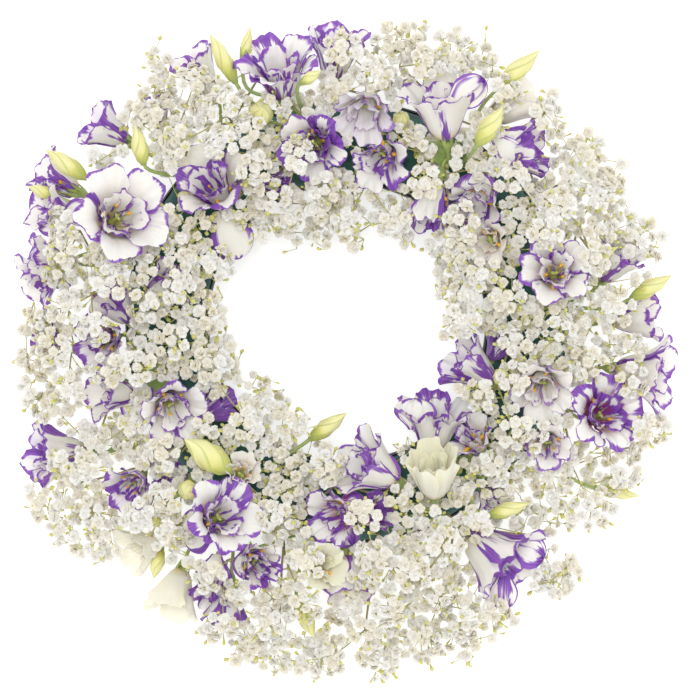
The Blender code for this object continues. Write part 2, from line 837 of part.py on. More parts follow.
def attach(space, stems, flower, ending, sides):
    """Adds a flower's branch, and a long bud's sepals, to the stem that it fits best."""
    stem, branch = branch_clear(space, flower, ending, sides)
    solids = [branch]
    if flower in BUDS and flower.length > STAR_BUD_LENGTH:
        solids.append(star_solid(flower))
    for solid in solids:
        stems[stem].append(solid)
        space.add(solid, owner=stem)
    return stem


def leaf_solid(start, axis, length, thickness):
    """A pointed leaf with a lifted edge, rooted a little inside its stem."""
    side = axis.cross(Vector((0.0, 0.0, 1.0))).normalized()
    frame = Matrix((side, axis, side.cross(axis))).transposed()
    turn = np.array(frame)

    def surface(across, along):
        swell = np.sin(np.pi * np.clip(along, 0.0, 1.0))
        half = length * (LEAF_FOOT + LEAF_SWELL * swell)
        arch = LEAF_ARCH * length * np.sin(np.pi * along) + LEAF_LIFT * np.abs(across) * half
        local = np.stack([across * half, along * length, arch], axis=-1)
        return local @ turn.T + np.array(start)

    return blade(LEAF_ROWS, surface, thickness)


def add_leaf(space, stems, leaf):
    """A leaf turned round its stem until it is clear."""
    stem = LISIANTHUS_STEMS[leaf.stem]
    for turn in LEAF_TURNS:
        axis = pointing(leaf.facing + turn, leaf.tilt)
        start = hub_of(stem) + axis * KNUCKLE_RADIUS * 0.5
        room = leaf_solid(start + axis * 4.0, axis, leaf.length, PETAL_THICKNESS + 2 * GAP)
        if space.free(room):
            solid = leaf_solid(start, axis, leaf.length, PETAL_THICKNESS)
            stems[stem].append(solid)
            space.add(solid, owner=stem)
            return


def trunk_solids(stem):
    """A stem's trunk, from its hole to the knuckle where its branches part."""
    low, high = trunk_path(stem, TRUNK_RISE)
    reach = pointing(stem.bearing, stem.lean) * KNUCKLE_RADIUS
    knuckle = tube([high - reach, high, high + reach], [0.0, KNUCKLE_RADIUS, 0.0], 5)
    return [tube([low, high], [TRUNK_RADIUS, TRUNK_RADIUS], 4), knuckle]


class Spray:
    """A branching spray grown face by face from three-sided twigs, so it stays one closed skin."""

    def __init__(self, root, axis, radius):
        self.points = []
        self.faces = set()
        ring = self.ring(root, axis, radius, axis.orthogonal(), 3)
        self.faces.add(tuple(reversed(ring)))
        self.tip = tuple(ring)
        self.faces.add(self.tip)

    def ring(self, centre, axis, radius, side, count, lifts=(0.0, 0.0)):
        """New points around an axis, the first of them towards the given side."""
        side = (side - axis * side.dot(axis)).normalized()
        first = len(self.points)
        for k in range(count):
            turn = Quaternion(axis, 2.0 * math.pi * k / count)
            self.points.append(centre + turn @ side * radius + axis * lifts[k % 2])
        return list(range(first, first + count))

    def middle(self, face):
        return sum((self.points[i] for i in face), Vector()) / len(face)

    def normal(self, face):
        a, b, c = (self.points[i] for i in face[:3])
        return (b - a).cross(c - a).normalized()

    def extend(self, face, centre, axis, radius):
        """Runs a twig from a face to a new ring, in line with the face's corners."""
        ring = self.ring(centre, axis, radius, self.points[face[0]] - self.middle(face), 3)
        self.faces.remove(face)
        for k in range(3):
            n = (k + 1) % 3
            self.faces.add((face[k], face[n], ring[n]))
            self.faces.add((face[k], ring[n], ring[k]))
        self.faces.add(tuple(ring))
        return tuple(ring)

    def fork(self, face, centre, axis):
        """Ends a twig in a small knuckle. Returns the faces that can carry more twigs."""
        low = self.extend(face, centre - axis * FORK_RADIUS * 0.7, axis, FORK_RADIUS)
        self.faces.remove(low)
        opposite = self.middle(low) - self.points[low[2]]
        high = self.ring(centre + axis * FORK_RADIUS * 0.7, axis, FORK_RADIUS, opposite, 3)
        sides = [tuple(high)]
        for k in range(3):
            n = (k + 1) % 3
            sides.append((low[k], low[n], high[k]))
            sides.append((low[n], high[n], high[k]))
        self.faces.update(sides)
        return sides

    def head(self, face, centre, axis, radius):
        """Ends a twig in a floret head with a raised heart and an uneven rim."""
        foot = centre - axis * radius * 0.42
        neck = self.extend(face, foot, axis, TWIG_RADIUS)
        self.faces.remove(neck)
        side = self.points[neck[0]] - self.middle(neck)
        lifts = (-0.06 * radius, 0.16 * radius)
        rim = self.ring(centre, axis, radius, side, HEAD_SIDES, lifts)
        apex = len(self.points)
        self.points.append(centre + axis * radius * 0.4)
        under = [(0, 1, 1), (1, 2, 3), (2, 0, 0)]
        for a, b, r in under:
            self.faces.add((neck[a], neck[b], rim[r]))
        for a, r in ((0, 0), (1, 1), (1, 2), (2, 3), (2, 4)):
            self.faces.add((neck[a], rim[(r + 1) % HEAD_SIDES], rim[r]))
        for k in range(HEAD_SIDES):
            self.faces.add((rim[k], rim[(k + 1) % HEAD_SIDES], apex))

    def solid(self):
        return Solid(self.points, sorted(self.faces))


def dome_height(distance):
    """The height of the wreath's rounded top at a distance from the ring's centre."""
    share = (distance - CREST_RADIUS) / CREST_HALF_WIDTH
    return EDGE_HEIGHT + CREST_RISE * math.sqrt(max(0.0, 1.0 - share * share))


def in_sector(cloud, chance, heights):
    """A random place in a cloud's sector, between two shares of the dome's height."""
    while True:
        bearing = cloud.bearing + chance.uniform(-1.0, 1.0) * cloud.half_width
        distance = math.sqrt(chance.uniform(cloud.inner**2, cloud.outer**2))
        place = RING_CENTRE + bearing_vector(bearing) * distance
        if place.length < WREATH_RADIUS - HEAD_RADII[0]:
            place.z = dome_height(distance) * chance.uniform(*heights)
            return place


def head_facing(place, ahead):
    """A head looks up and out of the wreath, and leans along its twig."""
    level = Vector((place.x, place.y, 0.0)) - RING_CENTRE
    middle = RING_CENTRE + level.normalized() * RING_MIDDLE_RADIUS
    outward = (place - middle).normalized()
    return (ahead * 0.6 + outward * 0.4 + Vector((0.0, 0.0, 0.7))).normalized()


def head_room(start, place, axis, radius, root_radius):
    """The room that a head and its twig need, with the gap around them."""
    path = [start] + [place + axis * radius * rise for rise in (-0.45, -0.07, 0.18, 0.45)]
    wide = radius * 1.07 + GAP
    radii = [root_radius + GAP, TWIG_RADIUS + GAP, wide, wide, 0.0]
    return tube(path, radii, 8)


def best_face(spray, free_faces, place):
    """The free face that looks most directly at a place, if any does."""
    best = None
    most = FACING_LIMIT
    for face in free_faces:
        ahead = (place - spray.middle(face)).normalized()
        directness = ahead.dot(spray.normal(face))
        if directness > most:
            best = face
            most = directness
    return best


def cloud_trunk(cloud):
    return trunk_path(cloud, CLOUD_TRUNK_RISE)


def cloud_solid(space, cloud, number):
    """One spray of baby's breath: a trunk, its forks, and the heads that find a free way."""
    chance = random.Random(FIRST_SEED + number)
    low, high = cloud_trunk(cloud)
    axis = (high - low).normalized()
    spray = Spray(low, axis, BABY_TRUNK_RADIUS)
    own = Space()
    main_faces = spray.fork(spray.tip, high, axis)
    fork_places = [high]
    fork_faces = []
    for _ in range(PLACING_TRIES):
        if len(fork_places) > FORKS_PER_SPRAY:
            break
        place = in_sector(cloud, chance, FORK_HEIGHTS)
        face = best_face(spray, main_faces, place)
        if face is None or min((place - other).length for other in fork_places) < FORK_SPACING:
            continue
        start = spray.middle(face)
        ahead = (place - start).normalized()
        ends = [start - ahead, start + ahead * 6.0, place + ahead * 4.0]
        room = tube(ends, [FORK_RADIUS * share + GAP for share in (1.6, 1.25, 1.25)], 6)
        own_path = [start + ahead * 1.5, place - ahead * 4.0]
        own_room = tube(own_path, [FORK_RADIUS * 0.8] * 2, 6)
        if not (space.free(room, cloud) and own.free(own_room)):
            continue
        own.add(own_room)
        main_faces.remove(face)
        fork_faces += spray.fork(face, place, ahead)
        fork_places.append(place)
    heads = 0
    for radius in [size for size in HEAD_RADII for _ in range(PLACING_TRIES)]:
        if heads == cloud.heads:
            break
        place = in_sector(cloud, chance, HEAD_HEIGHTS)
        near = [f for f in fork_faces if (spray.middle(f) - place).length < LONGEST_TWIG]
        face = best_face(spray, near, place)
        if face is None:
            continue
        start = spray.middle(face)
        ahead = (place - start).normalized()
        axis = head_facing(place, ahead)
        if (place - start).length < radius or axis.dot(ahead) < HEAD_LEAN_LIMIT:
            continue
        room = head_room(start + ahead * 1.2, place, axis, radius, TWIG_RADIUS * 1.6)
        wide_room = head_room(start - ahead, place, axis, radius, FORK_RADIUS * 1.4)
        if not (space.free(wide_room, cloud) and own.free(room)):
            continue
        own.add(room)
        fork_faces.remove(face)
        spray.head(face, place, axis, radius)
        heads += 1
    return spray.solid()


def cut_stem_holes(foam, stems_and_radii):
    """Plain holes in the foam, one for each stem, by one Boolean difference."""
    holes = bpy.data.collections.new("stem_holes")
    bpy.context.scene.collection.children.link(holes)
    for number, (stem, radius, sides) in enumerate(stems_and_radii):
        normal = pointing(stem.bearing, stem.lean)
        surface = foam_surface(stem.bearing, stem.lean)
        path = [surface - normal * (STEM_DEPTH + GAP), surface + normal * HOLE_RUNOUT]
        hole = tube(path, [radius + HOLE_CLEARANCE] * 2, sides)
        hole = new_object(f"stem_hole_{number}", hole)
        bpy.context.scene.collection.objects.unlink(hole)
        holes.objects.link(hole)
    cut = foam.modifiers.new("Stem holes", "BOOLEAN")
    cut.operation = "DIFFERENCE"
    cut.operand_type = "COLLECTION"
    cut.collection = holes
    baked(foam)
    shade(foam.data)
    for hole in list(holes.objects):
        bpy.data.objects.remove(hole)
    bpy.data.collections.remove(holes)


def build():
    clear_scene()
    tray_plastic = principled("tray_plastic", (0.13, 0.15, 0.14), 0.45)
    foam_green = principled("floral_foam", (0.03, 0.11, 0.09), 0.95)
    petal_white = principled("petals", (0.86, 0.82, 0.88), 0.55)
    stem_green = principled("stems_and_buds", (0.52, 0.60, 0.24), 0.5)
    baby_white = principled("babys_breath", (0.88, 0.88, 0.82), 0.7)

    space = Space()
    tray = tray_solid()
    foam = foam_solid()
    new_object("ring_tray", tray, tray_plastic)
    foam_object = new_object("floral_foam", foam, foam_green)
    holes = [(stem, TRUNK_RADIUS, 4) for stem in LISIANTHUS_STEMS]
    holes += [(cloud, BABY_TRUNK_RADIUS, 3) for cloud in CLOUDS]
    cut_stem_holes(foam_object, holes)
    for solid in (tray, foam, opening_solid()):
        space.add(solid)
    for stem in LISIANTHUS_STEMS:
        reserve_trunk(space, stem, TRUNK_RISE)
    for cloud in CLOUDS:
        reserve_trunk(space, cloud, CLOUD_TRUNK_RISE)
    for bud in BUDS:
        path, radii = bud_end(bud)
        space.add(tube(path, radii, 4), owner=bud)
    stems = {stem: trunk_solids(stem) for stem in LISIANTHUS_STEMS}
    for bud in BUDS:
        if bud.z >= EARLY_BUD_HEIGHT:
            attach(space, stems, bud, bud_end(bud), 4)
    for number, bloom in enumerate(LARGE_BLOOMS):
        solid = bloom_solid(space, bloom, 5, 2 if bloom.tilt > SIDE_VIEW_TILT else 3)
        space.add(solid, owner=bloom)
        new_object(f"bloom_{number + 1:02d}", solid, petal_white)
    for bloom in LARGE_BLOOMS:
        attach(space, stems, bloom, calyx_end(bloom), 3)
    for bud in BUDS:
        if bud.z < EARLY_BUD_HEIGHT:
            attach(space, stems, bud, bud_end(bud), 4)
    for bloom in SMALL_BLOOMS:
        stem = attach(space, stems, bloom, rooted_end(bloom), 3)
        solid = bloom_solid(space, bloom, SMALL_BLOOM_PETALS, 0)
        stems[stem].append(solid)
        space.add(solid, owner=stem)
    for leaf in LEAVES:
        add_leaf(space, stems, leaf)
    for number, stem in enumerate(LISIANTHUS_STEMS):
        fused(f"lisianthus_stem_{number + 1:02d}", stems[stem], stem_green)

    for number, cloud in enumerate(CLOUDS):
        solid = cloud_solid(space, cloud, number)
        space.add(solid, owner=cloud)
        new_object(f"babys_breath_{number + 1:02d}", solid, baby_white)


build()
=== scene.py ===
# %% [markdown]
# # A funeral wreath of lisianthus and baby's breath
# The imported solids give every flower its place. This lesson dresses them: petals with ruffled,
# violet-dyed edges, furled buds, and clouds of tiny double florets on thin brown twigs. We start by
# loading the solids, and keep their box so that we can see at the end how far the pieces pass it.

# %% Load the solids
import itertools
import json
import math
from collections import defaultdict, namedtuple

import bpy
import numpy as np
from mathutils import Matrix, Quaternion, Vector
from mathutils.bvhtree import BVHTree

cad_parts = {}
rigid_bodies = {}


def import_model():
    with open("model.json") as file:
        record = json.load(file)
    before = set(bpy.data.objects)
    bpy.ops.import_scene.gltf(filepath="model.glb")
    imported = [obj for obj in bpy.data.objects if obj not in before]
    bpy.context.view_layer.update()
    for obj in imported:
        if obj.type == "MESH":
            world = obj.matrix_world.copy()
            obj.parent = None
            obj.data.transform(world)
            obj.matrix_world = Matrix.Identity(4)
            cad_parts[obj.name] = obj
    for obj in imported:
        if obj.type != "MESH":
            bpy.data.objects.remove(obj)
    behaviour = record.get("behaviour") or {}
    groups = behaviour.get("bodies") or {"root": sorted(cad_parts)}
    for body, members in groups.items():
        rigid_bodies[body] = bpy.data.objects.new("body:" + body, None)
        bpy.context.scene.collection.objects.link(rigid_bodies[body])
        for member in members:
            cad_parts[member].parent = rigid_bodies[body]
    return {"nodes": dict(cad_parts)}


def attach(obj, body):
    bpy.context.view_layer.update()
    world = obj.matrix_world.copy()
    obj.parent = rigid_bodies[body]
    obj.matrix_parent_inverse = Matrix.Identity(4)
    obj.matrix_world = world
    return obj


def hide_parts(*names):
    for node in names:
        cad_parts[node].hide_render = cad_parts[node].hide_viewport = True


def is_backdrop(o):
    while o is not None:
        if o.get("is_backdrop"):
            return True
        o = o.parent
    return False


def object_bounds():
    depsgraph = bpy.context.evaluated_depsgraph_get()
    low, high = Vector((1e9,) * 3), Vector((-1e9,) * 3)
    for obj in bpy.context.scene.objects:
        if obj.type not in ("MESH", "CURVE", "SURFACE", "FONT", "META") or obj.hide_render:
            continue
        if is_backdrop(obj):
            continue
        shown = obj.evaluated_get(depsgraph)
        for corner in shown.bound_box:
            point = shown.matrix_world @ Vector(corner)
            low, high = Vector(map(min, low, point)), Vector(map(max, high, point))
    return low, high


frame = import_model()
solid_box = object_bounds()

MM = 0.001
print("solids:", len(frame["nodes"]))

# %% [markdown]
# ## Gathering mesh
# A bloom has a dozen petals and a spray about a hundred florets. One object for each would be slow, so
# we pile the points and faces of many small shapes up and turn each pile into one object. We work in
# millimetres, and values such as the distance to a petal's edge ride on the points for the materials.

# %% A pile of small shapes
class Pile:
    """Points, faces and point values of many small shapes, in millimetres."""

    def __init__(self):
        self.points = []
        self.faces = []
        self.values = defaultdict(list)
        self.count = 0

    def add(self, points, faces, **values):
        self.points.append(np.asarray(points, float))
        self.faces += (np.asarray(faces) + self.count).tolist()
        for name, value in values.items():
            self.values[name].append(value)
        self.count += len(points)

    def add_tube(self, rings, **values):
        """A closed skin over rings of points, given as rings by points by three numbers."""
        index = np.arange(rings.shape[0] * rings.shape[1]).reshape(rings.shape[:2])
        after = np.roll(index, -1, axis=1)
        walls = np.stack([index[:-1], after[:-1], after[1:], index[1:]], axis=-1).reshape(-1, 4)
        first = self.count
        self.add(rings.reshape(-1, 3), walls, **values)
        self.faces.append((index[0][::-1] + first).tolist())
        self.faces.append((index[-1] + first).tolist())

    def object(self, name, material, sharp_turn=60.0):
        mesh = bpy.data.meshes.new(name)
        mesh.from_pydata((np.concatenate(self.points) * MM).tolist(), [], self.faces)
        for value_name, parts in self.values.items():
            values = np.concatenate(parts).astype(np.float32)
            kind = "FLOAT_VECTOR" if values.ndim == 2 else "FLOAT"
            attribute = mesh.attributes.new(value_name, kind, "POINT")
            key = "vector" if values.ndim == 2 else "value"
            attribute.data.foreach_set(key, values.ravel())
        mesh.shade_smooth()
        mesh.set_sharp_from_angle(angle=math.radians(sharp_turn))
        mesh.materials.append(material)
        obj = bpy.data.objects.new(name, mesh)
        bpy.context.scene.collection.objects.link(obj)
        return obj


def put_on(piece):
    """Lets the wreath carry a finished piece."""
    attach(piece, "root")


def dress(piece, slot, *nodes):
    """Puts a finished piece on the wreath, in place of the solids that it stands for."""
    put_on(piece)
    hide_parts(*nodes)


def solid_mesh(node):
    """A solid's points in millimetres, each of them once, and its triangles."""
    mesh = frame["nodes"][node].data
    mesh.calc_loop_triangles()
    corners = np.array([v.co for v in mesh.vertices]) / MM
    triangles = np.array([t.vertices for t in mesh.loop_triangles])
    _, first, index = np.unique(
        np.round(corners, 2), axis=0, return_index=True, return_inverse=True
    )
    triangles = index.reshape(-1)[triangles]
    return corners[first], triangles


def surface_tree(nodes):
    """A quick way to find how far a point lies from some solids' surfaces."""
    points = []
    triangles = []
    for node in nodes:
        more_points, more_triangles = solid_mesh(node)
        triangles += (more_triangles + len(points)).tolist()
        points += more_points.tolist()
    return BVHTree.FromPolygons(points, triangles)


def distance_to(tree, points):
    return np.mean([tree.find_nearest(Vector(point))[3] for point in points])


# %% [markdown]
# ## Writing shaders as sums
# A finish here is a small sum of masks, so we wrap a node's socket in a class that understands plus,
# minus and times. Each operator adds one Math node. Every other node comes from one method, which
# sets the node's own settings first and then its sockets.

# %% Shader sockets that take part in sums
class Value:
    def __init__(self, finish, socket):
        self.finish = finish
        self.socket = socket

    def join(self, operation, first, second):
        return self.finish.node("ShaderNodeMath", {"operation": operation}, {0: first, 1: second})

    def __add__(self, other):
        return self.join("ADD", self, other)

    def __sub__(self, other):
        return self.join("SUBTRACT", self, other)

    def __rsub__(self, other):
        return self.join("SUBTRACT", other, self)

    def __mul__(self, other):
        return self.join("MULTIPLY", self, other)

    __radd__ = __add__
    __rmul__ = __mul__


class Finish:
    """One material and the nodes that it is built from."""

    def __init__(self, name, roughness, **constants):
        self.material = bpy.data.materials.new(name)
        self.material.use_nodes = True
        self.tree = self.material.node_tree
        self.shader = self.tree.nodes["Principled BSDF"]
        self.shader.inputs["Roughness"].default_value = roughness
        for socket, value in constants.items():
            self.shader.inputs[socket.replace("_", " ")].default_value = value

    def node(self, kind, settings, sockets, out=0):
        node = self.tree.nodes.new(kind)
        for name, value in settings.items():
            setattr(node, name, value)
        for name, value in sockets.items():
            if isinstance(value, Value):
                self.tree.links.new(value.socket, node.inputs[name])
            else:
                node.inputs[name].default_value = value
        return Value(self, node.outputs[out])

    def attribute(self, name, out="Fac"):
        return self.node("ShaderNodeAttribute", {"attribute_name": name}, {}, out)

    def parts(self, vector):
        """The three numbers in a vector."""
        split = self.tree.nodes.new("ShaderNodeSeparateXYZ")
        self.tree.links.new(vector.socket, split.inputs[0])
        return [Value(self, socket) for socket in split.outputs]

    def vector(self, x, y, z):
        return self.node("ShaderNodeCombineXYZ", {}, {0: x, 1: y, 2: z})

    def place(self):
        return self.node("ShaderNodeTexCoord", {}, {}, "Object")

    def noise(self, vector, scale, detail=2.0):
        sockets = {"Vector": vector, "Scale": scale, "Detail": detail}
        return self.node("ShaderNodeTexNoise", {}, sockets)

    def step(self, value, low, high):
        """0 up to low, 1 from high on, and a smooth rise between."""
        sockets = {"Value": value, "From Min": low, "From Max": high}
        return self.node("ShaderNodeMapRange", {"interpolation_type": "SMOOTHSTEP"}, sockets)

    def mix(self, share, first, second):
        first = first if isinstance(first, Value) else (*first, 1.0)
        second = second if isinstance(second, Value) else (*second, 1.0)
        sockets = {0: share, 6: first, 7: second}
        return self.node("ShaderNodeMix", {"data_type": "RGBA"}, sockets, 2)

    def feed(self, socket, value):
        self.tree.links.new(value.socket, self.shader.inputs[socket])

    def bump(self, height, distance, strength):
        sockets = {"Height": height, "Distance": distance, "Strength": strength}
        self.feed("Normal", self.node("ShaderNodeBump", {}, sockets))


# %% [markdown]
# ## Where everything stands
# The ring's centre, the stems' places in the foam and the flowers' seats are the same numbers as in
# the solids. A flower is a seat, the compass bearing that it faces and its tilt from upright, in
# millimetres and degrees, with the seat measured from the ring's centre. To these we add how each
# bloom is dyed: the width of its violet rim in millimetres, how strong the dye is, how much its edge
# is frilled, and its tone. A few more blooms are tucked in so deep that only their rims show. They
# aren't among the solids.

# %% The flowers
RING_CENTRE = Vector((0.0, 20.0, 0.0))
RING_MIDDLE_RADIUS = 125.0
FOAM_HALF_WIDTH = 27.0
FOAM_SHOULDER_HEIGHT = 18.0

Bloom = namedtuple("Bloom", "x y z facing tilt length flare rim dye frill tone")
Bud = namedtuple("Bud", "x y z facing tilt length radius")
Stem = namedtuple("Stem", "bearing lean")
Leaf = namedtuple("Leaf", "stem facing tilt length")

LARGE_BLOOMS = [
    Bloom(-18, 124, 62, 225, 16, 40, 62, 8.0, 1.0, 1.0, "plain"),
    Bloom(17, 156, 60, 200, 38, 38, 48, 1.6, 0.5, 1.0, "lavender"),
    Bloom(29, 121, 57, 215, 30, 38, 60, 3.6, 0.9, 1.2, "plain"),
    Bloom(97, 93, 60, 215, 42, 36, 42, 3.2, 0.85, 0.9, "plain"),
    Bloom(141, 30, 60, 0, 10, 40, 68, 2.0, 0.8, 1.2, "plain"),
    Bloom(167, -67, 48, 60, 22, 42, 84, 9.5, 1.0, 1.4, "crimson"),
    Bloom(133, -33, 60, 180, 30, 38, 58, 1.6, 0.5, 1.0, "plain"),
    Bloom(-124, -49, 60, 150, 28, 40, 60, 3.6, 0.9, 1.0, "plain"),
    Bloom(-163, 67, 54, 60, 20, 54, 76, 3.4, 0.9, 1.3, "plain"),
    Bloom(-82, 80, 58, 322, 34, 48, 72, 4.2, 0.85, 0.8, "cream"),
    Bloom(-94, -137, 58, 60, 24, 43, 76, 6.0, 1.0, 1.2, "plain"),
    Bloom(-68, -160, 60, 120, 24, 32, 26, 4.2, 0.9, 0.8, "cream"),
    Bloom(-43, 150, 58, 352, 50, 48, 66, 6.0, 1.0, 1.6, "plain"),
    Bloom(-10, 163, 52, 4, 64, 42, 50, 4.6, 0.95, 1.2, "lavender"),
    Bloom(68, 120, 72, 352, 66, 50, 52, 2.0, 0.8, 1.4, "plain"),
    Bloom(96, 136, 58, 50, 74, 42, 42, 0.8, 0.3, 1.0, "cream"),
    Bloom(98, 112, 62, 80, 74, 40, 34, 9.0, 1.0, 0.9, "lavender"),
    Bloom(64, 101, 68, 193, 78, 42, 20, 8.5, 1.0, 1.0, "plain"),
    Bloom(180, -32, 46, 98, 72, 48, 52, 3.4, 0.85, 1.0, "plain"),
    Bloom(102, -43, 62, 305, 72, 40, 36, 5.2, 1.0, 1.0, "lavender"),
    Bloom(58, -92, 56, 4, 66, 46, 62, 4.6, 0.95, 1.7, "plain"),
    Bloom(36, -110, 66, 300, 62, 46, 44, 4.0, 0.95, 1.0, "plain"),
    Bloom(60, -121, 68, 356, 46, 46, 6, 0.8, 0.1, 0.7, "yellow"),
    Bloom(80, -143, 54, 128, 70, 56, 56, 6.0, 1.0, 1.7, "plain"),
]
SMALL_BLOOMS = [
    Bloom(102, 57, 66, 250, 22, 28, 44, 1.0, 0.3, 1.0, "cream"),
    Bloom(136, -78, 60, 170, 20, 28, 50, 1.8, 0.6, 1.0, "plain"),
    Bloom(-74, -106, 62, 40, 12, 28, 50, 1.0, 0.3, 1.0, "cream"),
    Bloom(-24, -166, 56, 90, 22, 30, 44, 0.6, 0.15, 0.9, "yellow"),
    Bloom(178, 0, 50, 78, 74, 38, 40, 3.4, 0.85, 1.0, "plain"),
    Bloom(172, 26, 54, 35, 66, 36, 40, 3.4, 0.85, 1.1, "plain"),
    Bloom(92, -88, 58, 320, 36, 30, 44, 2.4, 0.75, 1.0, "plain"),
    Bloom(6, -127, 58, 250, 42, 36, 50, 5.5, 1.0, 1.5, "crimson"),
    Bloom(-1, -155, 52, 174, 72, 38, 26, 3.0, 0.8, 1.0, "plain"),
    Bloom(-112, -166, 44, 197, 72, 40, 30, 0.6, 0.1, 0.9, "ivory"),
    Bloom(-122, -143, 50, 236, 62, 38, 42, 1.0, 0.3, 0.9, "ivory"),
    Bloom(-143, -50, 52, 275, 60, 36, 46, 3.6, 0.9, 1.0, "plain"),
    Bloom(-174, -90, 42, 268, 76, 44, 46, 5.0, 1.0, 1.2, "plain"),
    Bloom(-182, 88, 40, 296, 76, 38, 46, 4.4, 0.95, 1.2, "plain"),
    Bloom(-188, 40, 40, 275, 78, 34, 44, 4.8, 0.95, 1.1, "plain"),
    Bloom(-148, 122, 46, 300, 74, 36, 40, 4.2, 0.9, 1.0, "lavender"),
    Bloom(-92, 158, 46, 326, 74, 34, 40, 4.4, 0.9, 1.0, "plain"),
    Bloom(-158, -10, 50, 250, 26, 34, 52, 4.0, 0.8, 1.0, "lavender"),
    Bloom(-140, -104, 52, 220, 34, 32, 50, 3.6, 0.8, 1.0, "lavender"),
    Bloom(-80, -176, 44, 186, 78, 34, 34, 7.0, 1.0, 1.0, "plain"),
]
TUCKED_BLOOMS = [
    Bloom(-192, 41, 40, 238, 68, 36, 56, 4.6, 0.95, 1.4, "plain"),
    Bloom(-186, 72, 44, 290, 62, 34, 56, 4.2, 0.9, 1.3, "plain"),
    Bloom(-147, -2, 50, 322, 60, 32, 52, 4.4, 0.95, 1.4, "lavender"),
    Bloom(-104, -66, 52, 62, 68, 30, 40, 12.0, 1.0, 1.2, "lavender"),
    Bloom(-107, -108, 52, 292, 68, 26, 40, 9.0, 1.0, 1.2, "plain"),
    Bloom(-90, -169, 46, 196, 70, 30, 50, 5.0, 1.0, 1.2, "plain"),
    Bloom(4, -135, 52, 72, 56, 28, 50, 8.0, 1.0, 1.9, "crimson"),
    Bloom(92, -112, 50, 140, 50, 24, 46, 2.4, 0.8, 1.2, "cream"),
    Bloom(97, -28, 50, 30, 66, 22, 40, 12.0, 1.0, 1.0, "lavender"),
    Bloom(-140, 16, 50, 62, 62, 32, 48, 2.8, 0.85, 1.0, "cream"),
    Bloom(-60, 96, 50, 100, 66, 20, 40, 8.0, 1.0, 1.0, "plain"),
    Bloom(-192, -96, 42, 282, 58, 30, 54, 4.6, 0.95, 1.4, "lavender"),
    Bloom(-194, -17, 52, 300, 48, 22, 50, 5.0, 0.9, 1.2, "plain"),
    Bloom(-126, 132, 52, 330, 44, 24, 50, 4.0, 0.9, 1.2, "plain"),
]
BUDS = [
    Bud(-76, 163, 74, 332, 72, 38, 6.0),
    Bud(-71, 177, 66, 12, 78, 25, 4.0),
    Bud(-31, 161, 96, 60, 66, 17, 4.2),
    Bud(-60, 138, 74, 20, 18, 22, 9.0),
    Bud(-138, 107, 80, 348, 66, 28, 6.0),
    Bud(-178, 98, 66, 305, 74, 34, 6.5),
    Bud(-200, 86, 52, 290, 76, 20, 4.6),
    Bud(-109, 82, 66, 10, 14, 18, 7.0),
    Bud(102, 158, 76, 48, 74, 40, 7.0),
    Bud(88, 119, 100, 34, 70, 32, 7.0),
    Bud(36, 136, 64, 20, 20, 15, 6.0),
    Bud(194, 16, 66, 60, 76, 32, 6.0),
    Bud(160, 38, 78, 62, 70, 28, 5.0),
    Bud(105, -42, 84, 350, 40, 16, 6.0),
    Bud(170, -114, 56, 100, 76, 31, 5.0),
    Bud(97, -132, 72, 72, 74, 29, 5.5),
    Bud(-25, -80, 66, 54, 74, 32, 6.0),
    Bud(-80, -101, 82, 306, 66, 40, 10.0),
    Bud(-107, -113, 78, 220, 16, 15, 7.0),
    Bud(-127, -130, 74, 212, 70, 20, 4.6),
    Bud(-127, -155, 60, 194, 74, 22, 5.0),
    Bud(-34, -189, 58, 156, 74, 30, 6.5),
]
STEMS = [
    Stem(349, 18),
    Stem(8, 30),
    Stem(36, 14),
    Stem(66, -10),
    Stem(86, 26),
    Stem(110, 12),
    Stem(141, -8),
    Stem(163, 6),
    Stem(190, 34),
    Stem(215, 20),
    Stem(247, 22),
    Stem(289, 34),
    Stem(318, 12),
]
LEAVES = [
    Leaf(10, 6, 72, 38),
    Leaf(2, 18, 62, 34),
    Leaf(6, 92, 72, 36),
    Leaf(9, 160, 74, 34),
    Leaf(12, 262, 76, 36),
]


def bearing_vector(bearing):
    return Vector((math.sin(math.radians(bearing)), math.cos(math.radians(bearing)), 0.0))


def pointing(facing, tilt):
    level = bearing_vector(facing) * math.sin(math.radians(tilt))
    return level + Vector((0.0, 0.0, math.cos(math.radians(tilt))))


def seat_of(flower):
    return RING_CENTRE + Vector((flower.x, flower.y, flower.z))


def axis_of(flower):
    return pointing(flower.facing, flower.tilt)


def frame_of(flower):
    turn = axis_of(flower).to_track_quat("Z", "Y")
    return Matrix.Translation(seat_of(flower)) @ turn.to_matrix().to_4x4()


def moved(points, placing):
    """Points taken from a flower's own space to the wreath's."""
    turn = np.array(placing.to_3x3())
    return np.asarray(points) @ turn.T + np.array(placing.translation)


BLOOM_NODES = [f"bloom_{number + 1:02d}" for number in range(len(LARGE_BLOOMS))]
STEM_NODES = [f"lisianthus_stem_{number + 1:02d}" for number in range(len(STEMS))]
STEM_TREES = [surface_tree([node]) for node in STEM_NODES]
print("blooms:", len(LARGE_BLOOMS) + len(SMALL_BLOOMS), "buds:", len(BUDS))

# %% [markdown]
# ## What covers the foam
# Seen from above, a wreath shows hardly any foam. We keep a map with one cell for each square
# millimetre, mark what the flowers cover as we build them, and fill the bare places with baby's
# breath at the end.

# %% A map of what is covered
MAP_SIZE = 500
covered = np.zeros((MAP_SIZE, MAP_SIZE), bool)


def cells_around(places, radius):
    reach = np.arange(-radius, radius + 1)
    aside, ahead = np.meshgrid(reach, reach)
    inside = aside**2 + ahead**2 <= radius**2
    offsets = np.stack([aside[inside], ahead[inside]], axis=-1)
    cells = np.round(np.asarray(places)[:, None, :2]).astype(int) + offsets + MAP_SIZE // 2
    return cells[..., 0], cells[..., 1]


def cover(places, radius):
    covered[cells_around(places, radius)] = True


